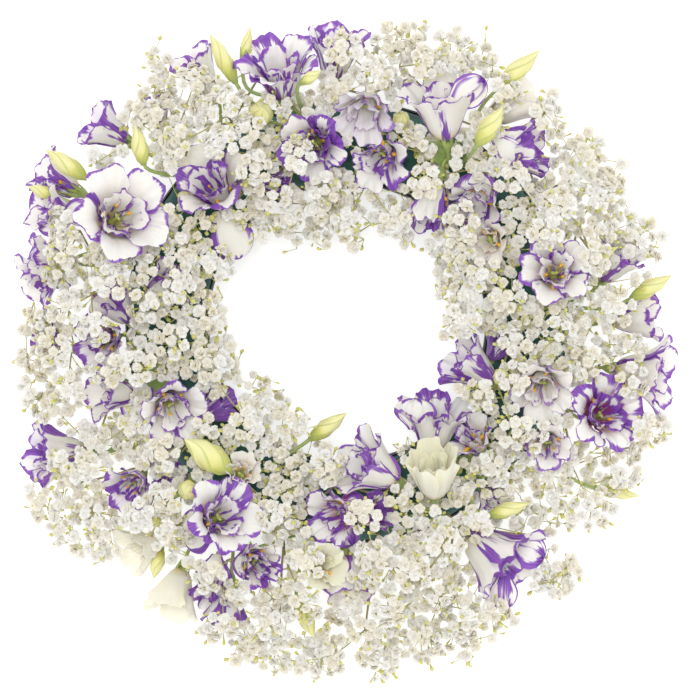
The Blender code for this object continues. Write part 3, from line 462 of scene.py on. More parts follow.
def covered_share(place, radius):
    return covered[cells_around([place], radius)].mean()


# %% [markdown]
# ## The shape of a petal
# A lisianthus petal leaves the heart almost flat, turns up into the wall of the cup and flares at
# the rim. Its midline is a running sum of small steps whose angle changes along the way. The solids
# use the same sum, so we only have to find by how much each solid petal was folded in to clear its
# neighbours, and the fine petal lies where the solid one is.

# %% The petal's midline and surface
PROFILE_STEPS = 41
ROOT_RADIUS = 1.0
BASE_ANGLE = 66.0
BASE_SHARE = 0.30
FLARE_START = 0.45
RIM_ROUNDING = 0.24
OVERLAP_OFFSET = 0.8
RUFFLE = 1.5
FOLD_SHARE = 0.17
FOLD_STEPS = 6
OUTER_WALL = 19.0
OUTER_ROOT = 3.2
OUTER_SPAN = 34.0
OUTER_SPAN_OF_FOUR = 43.0
INNER_WALL = 9.0
INNER_ROOT = 6.6
INNER_SPAN = 54.0
INNER_LENGTH_SHARE = 0.78
INNER_FLARE_SHARE = 0.45

Petal = namedtuple("Petal", "azimuth length flare wall span root ruffle")


def smooth_step(share):
    share = np.clip(share, 0.0, 1.0)
    return share * share * (3.0 - 2.0 * share)


def petal_profile(petal, fold):
    closing = 1.0 - FOLD_SHARE * fold
    share = np.linspace(0.0, 1.0, PROFILE_STEPS)
    wall = petal.wall * closing
    flare = petal.flare * closing
    angle = wall + (BASE_ANGLE - wall) * (1.0 - smooth_step(share / BASE_SHARE))
    angle = angle + (flare - wall) * smooth_step((share - FLARE_START) / (1.0 - FLARE_START))
    angle = np.radians(angle[:-1])
    step = petal.length / (PROFILE_STEPS - 1)
    radius = ROOT_RADIUS + step * np.concatenate(([0.0], np.cumsum(np.sin(angle))))
    height = petal.root + step * np.concatenate(([0.0], np.cumsum(np.cos(angle))))
    return share, radius, height


def petal_points(petal, fold, across, along, widening=1.0):
    share, radii, heights = petal_profile(petal, fold)
    reach = along * (1.0 - RIM_ROUNDING * np.abs(across) ** 2.2)
    radius = np.interp(reach, share, radii)
    height = np.interp(reach, share, heights)
    span = petal.span * (0.6 + 0.4 * smooth_step(reach * 2.0)) * widening
    azimuth = np.radians(petal.azimuth + across * span)
    ruffle = RUFFLE * along**3 * np.cos(2.0 * math.pi * across + petal.ruffle)
    radius = radius + across * along * OVERLAP_OFFSET * widening**2 + ruffle
    height = height - 0.5 * ruffle
    points = [radius * np.cos(azimuth), radius * np.sin(azimuth), height]
    return np.stack(points, axis=-1), radius * np.radians(span)


def first_azimuth(bloom):
    """An arbitrary turn for each bloom, the same as in the solids."""
    return (bloom.x * 7.0 + bloom.y * 3.0) % 72.0


def petals_of(bloom, outer_count, inner_count):
    start = first_azimuth(bloom)
    span = OUTER_SPAN if inner_count else OUTER_SPAN_OF_FOUR
    petals = []
    for i in range(outer_count):
        azimuth = start + 360.0 * i / outer_count
        shape = (bloom.length, bloom.flare, OUTER_WALL, span, OUTER_ROOT)
        petals.append(Petal(azimuth, *shape, 0.7 * i))
    length = bloom.length * INNER_LENGTH_SHARE
    flare = bloom.flare * INNER_FLARE_SHARE
    for i in range(inner_count):
        azimuth = start + 36.0 + 360.0 * i / inner_count
        petals.append(Petal(azimuth, length, flare, INNER_WALL, INNER_SPAN, INNER_ROOT, 0.9 * i))
    return petals


def best_fold(petal, placing, tree):
    """The fold that lies on the solid petal, and how far off it is."""
    across = np.array([-0.6, 0.0, 0.6, -0.4, 0.4])
    along = np.array([0.5, 0.55, 0.5, 0.85, 0.85])
    trials = []
    for fold in range(FOLD_STEPS):
        points = moved(petal_points(petal, fold, across, along)[0], placing)
        trials.append((distance_to(tree, points), fold))
    return min(trials)


# %% [markdown]
# ## The finish of a petal
# The dye of a picotee petal sits at the very rim and runs inwards along the veins. We measure each
# point's distance from the rim when we build the petal, and let noise move the border of the dye.
# Noise that is stretched along the petal gives the streaks. Near the heart the white turns cream,
# then amber and olive. Light that enters a petal scatters a little way, which softens its folds.

# %% Petal material
WHITE = (0.94, 0.897, 0.825)
CREAM = (0.93, 0.87, 0.75)
YELLOW = (0.97, 0.94, 0.70)
HEART_AMBER = (0.76, 0.50, 0.14)
HEART_OLIVE = (0.36, 0.34, 0.07)
BLUSH = (0.89, 0.82, 0.83)
LAVENDER = (0.72, 0.62, 0.84)
VIOLET = (0.27, 0.085, 0.50)
DEEP_VIOLET = (0.15, 0.04, 0.36)
LILAC = (0.56, 0.41, 0.72)
CRIMSON = (0.42, 0.02, 0.17)
TONES = {
    "plain": (0.0, 0.0, 0.0),
    "cream": (0.0, 0.6, 0.0),
    "ivory": (0.0, 1.3, 0.0),
    "yellow": (0.0, 1.6, 0.0),
    "lavender": (0.0, 0.0, 1.0),
    "crimson": (1.0, 0.0, 0.0),
}


def petal_finish():
    finish = Finish("petal", 0.5, Subsurface_Weight=0.5, Subsurface_Scale=0.0014)
    finish.shader.inputs["Subsurface Radius"].default_value = (1.0, 0.85, 0.8)
    across, along, seed = finish.parts(finish.attribute("lay", "Vector"))
    edge, rim, dye = finish.parts(finish.attribute("dye", "Vector"))
    crimson, cream, lavender = finish.parts(finish.attribute("tone", "Vector"))
    border = finish.noise(finish.vector(across * 2.2, along * 1.5, seed), 1.0, 2.0)
    veins = finish.noise(finish.vector(across * 16.0, along * 1.2, seed), 1.0, 2.0)
    width = rim * (0.15 + 1.6 * finish.step(border, 0.38, 0.66))
    solid_dye = 1.0 - finish.step(edge, width * 0.25, width * 1.15)
    reach = rim * 3.2 * finish.step(border, 0.3, 0.6)
    streaks = (1.0 - finish.step(edge, 0.0, reach)) * finish.step(veins, 0.47, 0.7)
    mask = finish.step(solid_dye + streaks * 0.55, 0.12, 0.95) * finish.step(dye, 0.0, 0.7)
    warm = finish.mix(finish.step(border, 0.45, 0.7) * dye * 0.4, WHITE, BLUSH)
    warm = finish.mix(finish.step(border, 0.3, 0.6) * lavender * 0.45, warm, LAVENDER)
    warm = finish.mix(finish.step(cream, 0.0, 1.0), warm, CREAM)
    warm = finish.mix(finish.step(cream, 1.0, 1.6), warm, YELLOW)
    base = finish.mix((1.0 - finish.step(along, 0.3, 0.95)) * 0.6, warm, CREAM)
    base = finish.mix((1.0 - finish.step(along, 0.14, 0.38)) * 0.7, base, HEART_AMBER)
    base = finish.mix((1.0 - finish.step(along, 0.06, 0.24)) * 0.9, base, HEART_OLIVE)
    violet = finish.mix(finish.step(veins, 0.35, 0.62), VIOLET, DEEP_VIOLET)
    violet = finish.mix(finish.step(mask, 0.8, 0.2), violet, LILAC)
    colour = finish.mix(mask, base, violet)
    flush = (1.0 - finish.step(along, 0.45, 0.8)) * finish.step(veins, 0.4, 0.6) * crimson
    finish.feed("Base Color", finish.mix(flush, colour, CRIMSON))
    finish.bump(veins, 0.0006, 0.35)
    return finish.material


PETAL = petal_finish()

# %% [markdown]
# ## Growing the petals
# Each petal is a grid of points on its surface, thickened into a thin closed blade. The rows crowd
# together towards the rim, where the frill needs them. The frill is a wave along the surface's
# normal that grows towards the tip, and a second, finer one. The petals are a little wider than
# the solid ones, so that they overlap like tiles, and a few more stand inside the cup. A petal that
# none of the folds brings near its solid was left out there, so it is left out here.

# %% Fine petals
PETAL_THICKNESS = 0.34
WORST_FIT = 1.5
LARGE_GRID = (17, 11)
SMALL_GRID = (15, 9)
CUP_GRID = (13, 8)
SCALLOP = 0.025
FRILL_START = 0.45
FRILL_HEIGHT = 3.3
FINE_FRILL_SHARE = 0.45
RIM_WIDTHS = [0.5, 0.8, 1.2, 1.7]
WIDENING = 1.28
CUP_WIDENING = 1.1
CUP_FRILL = 0.8
CUP_LENGTHS = (0.62, 0.72)
CUP_FLARE_SHARE = 0.3
CUP_WALL = 12.0
CUP_SPAN = 44.0
CUP_ROOT = 5.6
CUP_FOLD_SHARE = 0.6


def petal_grid(columns, rows):
    along = 0.05 + 0.95 * (1.0 - (1.0 - np.linspace(0.0, 1.0, rows)) ** 1.5)
    return np.meshgrid(np.linspace(-1.0, 1.0, columns), along)


def grid_blade(pile, middle, normal, thickness, **values):
    """A closed blade from a grid of points with their normals."""
    rows, columns = middle.shape[:2]
    count = rows * columns
    offset = normal * thickness / 2
    points = np.concatenate([(middle + offset).reshape(-1, 3), (middle - offset).reshape(-1, 3)])
    index = np.arange(count).reshape(rows, columns)
    a, b = index[:-1, :-1].ravel(), index[:-1, 1:].ravel()
    c, d = index[1:, 1:].ravel(), index[1:, :-1].ravel()
    top = np.stack([a, b, c, d], axis=1)
    under = np.stack([d, c, b, a], axis=1) + count
    ring = np.concatenate([index[0, :], index[1:, -1], index[-1, -2::-1], index[-2:0:-1, 0]])
    after = np.roll(ring, -1)
    side = np.stack([after, ring, ring + count, after + count], axis=1)
    doubled = {name: np.concatenate([value, value]) for name, value in values.items()}
    pile.add(points, np.concatenate([top, under, side]), **doubled)


def fine_petal(pile, petal, fold, placing, bloom, chance, grid, widening=WIDENING, frill=1.0):
    across, along = petal_grid(*grid)
    scallop = 1.0 + SCALLOP * np.sin(7.0 * across + chance.uniform(0, 6)) * along**4

    def surface(u, v):
        return petal_points(petal, fold, u, v * scallop, widening)

    middle, half = surface(across, along)
    step = 0.02
    slope_across = surface(across + step, along)[0] - surface(across - step, along)[0]
    slope_along = surface(across, along + step)[0] - surface(across, along - step)[0]
    normal = np.cross(slope_across, slope_along)
    normal /= np.linalg.norm(normal, axis=-1, keepdims=True)
    waves = chance.choice([3.0, 4.0, 5.0])
    swell = bloom.frill * frill * np.clip(along - FRILL_START, 0.0, 1.0) ** 2 * FRILL_HEIGHT
    wave = np.sin(waves * math.pi * across + chance.uniform(0, 6))
    fine_wave = np.sin(2.3 * waves * math.pi * across + chance.uniform(0, 6))
    middle = middle + normal * (swell * (wave + FINE_FRILL_SHARE * fine_wave))[..., None]
    tip = (1.0 - along * scallop.clip(None, 1.0)) * petal.length
    edge = np.minimum(tip, (1.0 - np.abs(across)) * half * 0.8)
    seed = np.full_like(across, chance.uniform(0, 50))
    lay = np.stack([across, along, seed], axis=-1).reshape(-1, 3)
    rim = bloom.rim * chance.choice(RIM_WIDTHS)
    dye = np.stack([edge, np.full_like(edge, rim), np.full_like(edge, bloom.dye)], axis=-1)
    turn = np.array(placing.to_3x3())
    middle = moved(middle, placing)
    cover(middle.reshape(-1, 3), 2)
    tone = np.tile(TONES[bloom.tone], (across.size, 1))
    values = {"lay": lay, "dye": dye.reshape(-1, 3), "tone": tone}
    grid_blade(pile, middle, normal @ turn.T, PETAL_THICKNESS, **values)


def grow_bloom(pile, bloom, outer_count, inner_count, tree, chance):
    """All petals of one bloom. Returns how far off the worst fitted petal is."""
    placing = frame_of(bloom)
    grid = LARGE_GRID if inner_count else SMALL_GRID
    worst = 0.0
    outer_folds = []
    for i, petal in enumerate(petals_of(bloom, outer_count, inner_count)):
        off, fold = best_fold(petal, placing, tree) if tree else (0.0, i % 2)
        if off > WORST_FIT:
            continue
        worst = max(worst, off)
        fine_petal(pile, petal, fold, placing, bloom, chance, grid)
        if i < outer_count:
            outer_folds.append(fold)
    fold = max(outer_folds, default=2)
    extra = 3 if inner_count or not tree else 4
    look = (CUP_GRID, CUP_WIDENING, CUP_FRILL)
    for i in range(extra):
        length = bloom.length * chance.uniform(*CUP_LENGTHS)
        shape = (length, bloom.flare * CUP_FLARE_SHARE, CUP_WALL, CUP_SPAN, CUP_ROOT)
        azimuth = first_azimuth(bloom) + 360.0 * (i + 0.5) / extra + chance.uniform(-12, 12)
        petal = Petal(azimuth, *shape, chance.uniform(0, 6))
        fine_petal(pile, petal, fold * CUP_FOLD_SHARE, placing, bloom, chance, *look)
    return worst


for number, (node, bloom) in enumerate(zip(BLOOM_NODES, LARGE_BLOOMS)):
    pile = Pile()
    chance = np.random.default_rng(number)
    inner = 2 if bloom.tilt > 60.0 else 3
    worst = grow_bloom(pile, bloom, 5, inner, surface_tree([node]), chance)
    piece = pile.object(node + "_petals", PETAL)
    dress(piece, "petals", node)
    print(node, "petals fit within", round(worst, 2), "mm")

# %% [markdown]
# ## Which stem carries which flower
# In the solids every branch is a smooth curve from a stem's knuckle to a flower's foot, bent and
# swayed by one of a few amounts until it was clear. We try the same few and keep the curve whose
# points lie nearest the solid branch.

# %% Finding each branch
TRUNK_RISE = 7.0
STEM_DEPTH = 17.0
KNUCKLE_RADIUS = 3.4
CALYX_HEIGHT = 5.0
BRANCH_UPTURN = 0.4
BENDS = (0.35, 0.5, 0.2, 0.7, 0.05)
SWAYS = (0.0, 8.0, -8.0, 18.0, -18.0)
STEMS_TRIED = 6

Branch = namedtuple("Branch", "off stem curve")


def foam_surface(bearing, lean):
    middle = RING_CENTRE + bearing_vector(bearing) * RING_MIDDLE_RADIUS
    middle.z = FOAM_SHOULDER_HEIGHT
    return middle + pointing(bearing, lean) * FOAM_HALF_WIDTH


def hub_of(stem):
    return foam_surface(stem.bearing, stem.lean) + pointing(stem.bearing, stem.lean) * TRUNK_RISE


def curve_between(start, leaving, end, arriving, bend, sway, steps):
    reach = (end - start).length * bend
    aside = (end - start).cross(Vector((0.0, 0.0, 1.0))).normalized() * sway
    first = start + leaving * reach + aside
    last = end - arriving * reach + aside
    path = []
    for i in range(steps + 1):
        t = i / steps
        path.append(
            start * (1 - t) ** 3
            + first * 3 * t * (1 - t) ** 2
            + last * 3 * t * t * (1 - t)
            + end * t**3
        )
    return path


def branch_curves(flower, end):
    """Every curve that could be this flower's branch, with its stem's number."""
    seat = seat_of(flower)
    order = sorted(range(len(STEMS)), key=lambda i: (hub_of(STEMS[i]) - seat).length)
    for i in order[:STEMS_TRIED]:
        hub = hub_of(STEMS[i])
        upturn = pointing(STEMS[i].bearing, STEMS[i].lean) * BRANCH_UPTURN
        leaving = (upturn + (end - hub).normalized()).normalized()
        start = hub + leaving * KNUCKLE_RADIUS * 0.5
        for bend, sway in itertools.product(BENDS, SWAYS):
            yield i, (start, leaving, end, axis_of(flower), bend, sway)


def find_branch(flower, end):
    """The curve that lies nearest the solid branch, its stem's number and how far off it is."""
    trials = []
    for i, curve in branch_curves(flower, end):
        start, middle, foot = curve_between(*curve, 2)
        shares = (0.3, 0.6, 0.9)
        samples = [start.lerp(middle, share) for share in shares]
        samples += [middle.lerp(foot, share) for share in shares]
        trials.append(Branch(distance_to(STEM_TREES[i], samples), i, curve))
    return min(trials, key=lambda branch: branch.off)


BRANCHES = {}
for bloom in LARGE_BLOOMS + SMALL_BLOOMS:
    BRANCHES[bloom] = find_branch(bloom, seat_of(bloom) - axis_of(bloom) * CALYX_HEIGHT)
for bud in BUDS:
    BRANCHES[bud] = find_branch(bud, seat_of(bud))


def carried_by(number, flowers):
    """Those of the flowers that grow on one stem."""
    return [flower for flower in flowers if BRANCHES[flower].stem == number]


worst = max(branch.off for branch in BRANCHES.values())
print("branches found within", round(worst, 2), "mm")

# %% [markdown]
# ## Green parts
# Stems, sepals and leaves are waxy and a little mottled. The same noise gives all of them their
# green, and a value that rides on the points makes young tips yellower.

# %% Green material
GREEN = (0.22, 0.33, 0.085)
YOUNG_GREEN = (0.46, 0.53, 0.16)


def green_finish():
    finish = Finish("green_stem", 0.42)
    place = finish.place()
    mottle = finish.noise(place, 220.0, 3.0)
    young = finish.attribute("young")
    colour = finish.mix(finish.step(mottle, 0.35, 0.7) * 0.5 + young * 0.6, GREEN, YOUNG_GREEN)
    finish.feed("Base Color", colour)
    finish.bump(finish.noise(place, 900.0, 2.0), 0.0004, 0.3)
    return finish.material


GREEN_FINISH = green_finish()

# %% [markdown]
# ## Tubes and blades
# A stem is a tube along its curve. Each ring starts from the direction of the one before it, so the
# tube doesn't twist, and both ends are closed. Sepals are slim curved blades around the foot of a
# flower. A leaf was turned about its stem in the solids until it was clear, so we try the same turns.

# %% Tubes, sepals and leaves
GREEN_THICKNESS = 0.5
SEPAL_COUNT = 5
SEPAL_DROP = 1.0
SEPAL_HALF_WIDTH = 1.3
SEPAL_ARCH = 0.12
LEAF_ARCH = 0.12
LEAF_TURNS = (0, 15, -15, 30, -30, 50, -50, 80, -80, 120, -120, 160)


def even_grid(rows, columns):
    return np.meshgrid(np.linspace(0.0, 1.0, rows), np.linspace(-1.0, 1.0, columns), indexing="ij")


def tube(pile, path, radii, sides, **values):
    path = np.array([list(point) for point in path], float)
    ahead = np.gradient(path, axis=0)
    ahead /= np.linalg.norm(ahead, axis=1)[:, None]
    side = np.cross(ahead[0], [0.3, 0.5, 0.8])
    angles = 2.0 * math.pi * np.arange(sides) / sides
    rings = []
    for point, forward, radius in zip(path, ahead, radii):
        side = side - forward * side.dot(forward)
        side /= np.linalg.norm(side)
        up = np.cross(forward, side)
        circle = np.cos(angles)[:, None] * side + np.sin(angles)[:, None] * up
        rings.append(point + circle * radius)
    pile.add_tube(np.array(rings), **{name: np.repeat(value, sides) for name, value in values.items()})


def add_sepal(pile, start, axis, up, length):
    """A pointed blade that leaves along its axis and bends towards the up direction."""
    along, across = even_grid(7, 3)
    side = np.cross(up, axis)
    side = side / np.linalg.norm(side)
    lift = np.cross(axis, side)
    width = SEPAL_HALF_WIDTH * (0.12 + np.sin(math.pi * along**0.8)) * (1.0 - 0.85 * along**6)
    arch = SEPAL_ARCH * length * np.sin(0.5 * math.pi * along) ** 2
    height = arch + 0.3 * np.abs(across) * width
    middle = (
        np.array(start)
        + (along * length)[..., None] * np.array(axis)
        + (across * width)[..., None] * side
        + height[..., None] * lift
    )
    normal = np.broadcast_to(lift, middle.shape)
    grid_blade(pile, middle, normal, GREEN_THICKNESS, young=(0.35 + 0.3 * along).ravel())


def ring_of_sepals(pile, flower, radius, length, spread):
    """Slim sepals round the foot of a flower, leaning out by a share of their length."""
    axis = np.array(axis_of(flower))
    foot = np.array(seat_of(flower)) - axis * SEPAL_DROP
    side = np.array(axis_of(flower).orthogonal())
    side /= np.linalg.norm(side)
    for k in range(SEPAL_COUNT):
        turn = 2.0 * math.pi * k / SEPAL_COUNT + flower.x
        out = np.cos(turn) * side + np.sin(turn) * np.cross(axis, side)
        start = foot + out * radius
        leaving = axis + out * spread
        leaving /= np.linalg.norm(leaving)
        add_sepal(pile, start, leaving, -out, length)


def leaf_axis(leaf, tree):
    """The direction that lies on the solid leaf, and how far off it is."""
    hub = hub_of(STEMS[leaf.stem])
    trials = []
    for turn in LEAF_TURNS:
        axis = pointing(leaf.facing + turn, leaf.tilt)
        side = axis.cross(Vector((0.0, 0.0, 1.0))).normalized()
        lift = side.cross(axis)
        start = hub + axis * KNUCKLE_RADIUS * 0.5
        samples = []
        for share in (0.4, 0.6, 0.8):
            arch = LEAF_ARCH * leaf.length * math.sin(math.pi * share)
            samples.append(start + axis * leaf.length * share + lift * arch)
        trials.append((distance_to(tree, samples), turn))
    off, turn = min(trials)
    return off, pointing(leaf.facing + turn, leaf.tilt)


# %% [markdown]
# ## Stems, sepals and leaves
# Each stem node holds a trunk that stands in the foam, the branches that we found, and what they
# carry. The stem swells a little into each calyx, and five slim sepals clasp every flower.

# %% The green pieces
STEM_RADIUS = 1.3
CALYX_RADIUS = 4.4
TRUNK_RADII = [1.7, 1.7, 2.0, 2.9, 0.6]


def add_leaf(pile, leaf, tree):
    off, axis = leaf_axis(leaf, tree)
    if off > WORST_FIT:
        return
    hub = hub_of(STEMS[leaf.stem])
    along, across = even_grid(15, 9)
    side = np.array(axis.cross(Vector((0.0, 0.0, 1.0))).normalized())
    lift = np.cross(side, np.array(axis))
    half = leaf.length * (0.03 + 0.2 * np.sin(math.pi * along)) * (1.0 - 0.5 * along**8)
    wave = 0.6 * np.sin(9.0 * along + 2.0 * across) * np.abs(across)
    arch = LEAF_ARCH * leaf.length * np.sin(math.pi * along) + 0.25 * np.abs(across) * half + wave
    middle = (
        np.array(hub + axis * KNUCKLE_RADIUS * 0.5)
        + (across * half)[..., None] * side
        + (along * leaf.length)[..., None] * np.array(axis)
        + arch[..., None] * lift
    )
    normal = np.broadcast_to(lift, middle.shape)
    grid_blade(pile, middle, normal, GREEN_THICKNESS, young=np.full(along.size, -0.25))


def green_parts(number, stem, flowers):
    pile = Pile()
    normal = pointing(stem.bearing, stem.lean)
    hub = hub_of(stem)
    bottom = foam_surface(stem.bearing, stem.lean) - normal * STEM_DEPTH
    path = [bottom, bottom.lerp(hub, 0.6), hub - normal * 2.0, hub, hub + normal * 2.6]
    tube(pile, path, TRUNK_RADII, 10, young=[0.0] * len(path))
    for flower in flowers:
        path = curve_between(*BRANCHES[flower].curve, 12)
        radii = [STEM_RADIUS] * len(path)
        if isinstance(flower, Bloom):
            seat = seat_of(flower)
            axis = axis_of(flower)
            path += [seat - axis * 2.0, seat + axis * 2.4, seat + axis * 3.4]
            radii += [CALYX_RADIUS * 0.7, CALYX_RADIUS, CALYX_RADIUS * 0.6]
            ring_of_sepals(pile, flower, 3.4, 15.0, 0.42)
        else:
            ring_of_sepals(pile, flower, 1.6, 0.34 * flower.length + 3.0, 0.4)
        tube(pile, path, radii, 8, young=np.linspace(0.0, 0.4, len(path)))
    for leaf in LEAVES:
        if leaf.stem == number:
            add_leaf(pile, leaf, STEM_TREES[number])
    return pile


for number, (node, stem) in enumerate(zip(STEM_NODES, STEMS)):
    flowers = carried_by(number, BRANCHES)
    piece = green_parts(number, stem, flowers).object(node + "_green", GREEN_FINISH)
    dress(piece, "stems_and_buds", node)
    print(node, "carries", len(flowers), "flowers")

# %% [markdown]
# ## The small blooms
# The small blooms belong to their stems' solids, so their fine petals are fitted to those. They
# are built by the same function as the large ones, with four outer petals.

# %% Small blooms
for number, node in enumerate(STEM_NODES):
    blooms = carried_by(number, SMALL_BLOOMS)
    if not blooms:
        continue
    pile = Pile()
    for bloom in blooms:
        chance = np.random.default_rng(100 + SMALL_BLOOMS.index(bloom))
        grow_bloom(pile, bloom, 4, 0, STEM_TREES[number], chance)
    dress(pile.object(node + "_petals", PETAL), "petals", node)

# %% [markdown]
# ## Blooms tucked in deep
# Between the others a few blooms sit so low that only a rim or a frill shows. Each stands on its
# own short stem from the nearest knuckle.

# %% Tucked blooms
tucked_petals = Pile()
tucked_stems = Pile()
for number, bloom in enumerate(TUCKED_BLOOMS):
    chance = np.random.default_rng(200 + number)
    grow_bloom(tucked_petals, bloom, 4, 0, None, chance)
    foot = seat_of(bloom) - axis_of(bloom) * CALYX_HEIGHT
    hub = min((hub_of(stem) for stem in STEMS), key=lambda place: (place - foot).length)
    leaving = (foot - hub).normalized()
    path = curve_between(hub, leaving, foot, axis_of(bloom), BENDS[0], SWAYS[0], 10)
    radii = [STEM_RADIUS] * len(path) + [CALYX_RADIUS * 0.7, CALYX_RADIUS * 0.8]
    path += [seat_of(bloom) - axis_of(bloom) * 2.0, seat_of(bloom) + axis_of(bloom) * 3.0]
    tube(tucked_stems, path, radii, 8, young=np.linspace(0.0, 0.4, len(path)))
put_on(tucked_petals.object("tucked_blooms", PETAL))
put_on(tucked_stems.object("tucked_stems", GREEN_FINISH))
print("tucked blooms:", len(TUCKED_BLOOMS))

# %% [markdown]
# ## Broad outer petals
# Some blooms let one broad petal fall forward over its neighbours. Such a petal starts at a bloom's
# foot, points along a compass bearing with a small rise, and its sides roll back a little. A short
# green claw joins its foot to the nearest calyx, stem or petal of the solids.

# %% Outer petals
LoosePetal = namedtuple("LoosePetal", "x y z bearing rise length half_width rim frill tone")
LOOSE_PETALS = [
    LoosePetal(-85, 79, 62, 163, -4, 38, 15, 4.5, 0.5, "cream"),
    LoosePetal(89, 73, 64, 355, 12, 29, 16, 4.0, 0.8, "plain"),
    LoosePetal(99, 128, 74, 124, 6, 29, 17, 9.0, 0.8, "plain"),
    LoosePetal(-153, 68, 56, 171, -4, 28, 18, 5.0, 1.2, "plain"),
    LoosePetal(-192, 46, 48, 252, 4, 27, 14, 4.0, 1.6, "plain"),
    LoosePetal(-194, 41, 44, 209, 0, 19, 12, 3.6, 1.6, "plain"),
    LoosePetal(-186, 72, 50, 255, 6, 27, 10, 4.6, 1.4, "plain"),
    LoosePetal(-167, 75, 60, 270, 4, 26, 10, 4.6, 1.2, "plain"),
    LoosePetal(-157, -45, 56, 122, 8, 26, 15, 3.0, 1.0, "lavender"),
    LoosePetal(-88, -140, 60, 258, 6, 26, 16, 6.0, 1.2, "plain"),
    LoosePetal(-89, -158, 52, 189, 4, 26, 13, 5.0, 1.0, "plain"),
    LoosePetal(-66, -151, 54, 183, 4, 26, 12, 6.0, 1.0, "plain"),
    LoosePetal(-6, -131, 66, 63, 14, 21, 11, 8.0, 1.8, "crimson"),
    LoosePetal(-7, -135, 62, 148, 8, 21, 10, 7.0, 1.8, "plain"),
    LoosePetal(46, -75, 66, 3, 10, 23, 15, 5.0, 1.4, "plain"),
    LoosePetal(9, -87, 74, 128, 2, 33, 10, 9.0, 0.6, "plain"),
    LoosePetal(114, -152, 60, 116, 10, 23, 12, 6.0, 1.8, "plain"),
    LoosePetal(108, -169, 54, 183, 6, 28, 10, 8.0, 1.8, "plain"),
    LoosePetal(-90, -188, 46, 166, 0, 22, 10, 9.0, 1.4, "plain"),
    LoosePetal(67, 143, 84, 51, 8, 34, 12, 4.0, 1.4, "plain"),
]


def add_loose_petal(pile, petal, chance):
    across, along = petal_grid(19, 13)
    ahead = pointing(petal.bearing, 90.0 - petal.rise)
    side = ahead.cross(Vector((0.0, 0.0, 1.0))).normalized()
    ahead, side, lift = np.array(ahead), np.array(side), np.array(side.cross(ahead))
    rounding = np.sqrt(np.clip(1.0 - (np.clip(along - 0.5, 0.0, 1.0) / 0.5) ** 2.4, 0.0, 1.0))
    half = petal.half_width * (0.25 + 0.75 * smooth_step(along / 0.6)) * np.maximum(rounding, 0.04)
    turn = chance.uniform(0, 6)
    frill = petal.frill * along**3 * np.sin(4.2 * math.pi * across + turn)
    frill = frill + 0.5 * petal.frill * along**2 * np.sin(9.0 * across + 2.0 * turn)
    arch = 0.16 * petal.length * np.sin(math.pi * along**0.8) - 0.22 * half * across**2
    middle = (
        np.array(seat_of(petal))
        + (along * petal.length)[..., None] * ahead
        + (across * half)[..., None] * side
        + (arch + frill)[..., None] * lift
    )
    slope_across = np.gradient(middle, axis=1)
    slope_along = np.gradient(middle, axis=0)
    normal = np.cross(slope_across, slope_along)
    normal /= np.maximum(np.linalg.norm(normal, axis=-1, keepdims=True), 1e-6)
    edge = np.minimum((1.0 - along) * petal.length, (1.0 - np.abs(across)) * half)
    lay = np.stack([across, 0.25 + 0.75 * along, np.full_like(along, turn * 9.0)], axis=-1)
    dye = np.stack([edge, np.full_like(edge, petal.rim), np.ones_like(edge)], axis=-1)
    cover(middle.reshape(-1, 3), 2)
    tone = np.tile(TONES[petal.tone], (along.size, 1))
    values = {"lay": lay.reshape(-1, 3), "dye": dye.reshape(-1, 3), "tone": tone}
    grid_blade(pile, middle, normal, PETAL_THICKNESS, **values)


FLOWER_TREE = surface_tree(BLOOM_NODES + STEM_NODES)


CLAW_RADII = [0.7, 0.8, 1.0, 0.5]


def add_claw(pile, petal):
    """The claw from what carries the petal to just inside the petal's foot."""
    foot = seat_of(petal)
    hold = FLOWER_TREE.find_nearest(foot)[0]
    inside = foot + pointing(petal.bearing, 90.0 - petal.rise) * 3.0
    start = hold + (hold - foot).normalized()
    path = [start, hold.lerp(foot, 0.5), foot, inside]
    tube(pile, path, CLAW_RADII, 6, young=[0.1, 0.3, 0.5, 0.6])


loose_petals = Pile()
claws = Pile()
for number, petal in enumerate(LOOSE_PETALS):
    add_loose_petal(loose_petals, petal, np.random.default_rng(300 + number))
    add_claw(claws, petal)
put_on(loose_petals.object("outer_petals", PETAL))
put_on(claws.object("outer_petal_claws", GREEN_FINISH))
print("broad outer petals:", len(LOOSE_PETALS))

# %% [markdown]
# ## Hearts of the blooms
# Inside the cup stands a green ovary with its style and a two-lobed stigma, and around it five
# stamens with orange anthers. They show in every bloom that faces the viewer.

# %% Heart materials and shapes
def speckled_finish(name, first, second, scale, roughness):
    finish = Finish(name, roughness)
    speck = finish.noise(finish.place(), scale, 3.0)
    finish.feed("Base Color", finish.mix(finish.step(speck, 0.35, 0.65), first, second))
    finish.bump(speck, 0.0003, 0.5)
    return finish.material


ORANGES = ((0.80, 0.33, 0.01), (0.90, 0.55, 0.05))
OVARY_GREENS = ((0.30, 0.38, 0.06), (0.50, 0.55, 0.14))
ANTHER = speckled_finish("anther", *ORANGES, 1500.0, 0.8)
OVARY = speckled_finish("ovary", *OVARY_GREENS, 700.0, 0.45)
STAMEN_COUNT = 5
OVARY_RADII = [2.0, 2.9, 2.5, 1.0, 0.9]
STIGMA_RADII = [1.0, 1.3, 0.5]
FILAMENT_RADII = [0.45, 0.45, 0.45, 0.45]
ANTHER_RADII = [0.4, 1.35, 1.35, 0.4]


def arc_path(placing, turn, lean, length, start_radius, start_height):
    """A filament that rises from the heart and bends outwards."""
    steps = np.linspace(0.0, 1.0, len(FILAMENT_RADII))
    radius = start_radius + length * math.sin(lean) * steps**1.5
    height = start_height + length * math.cos(lean) * steps
    points = np.stack([radius * math.cos(turn), radius * math.sin(turn), height], axis=-1)
    return moved(points, placing)


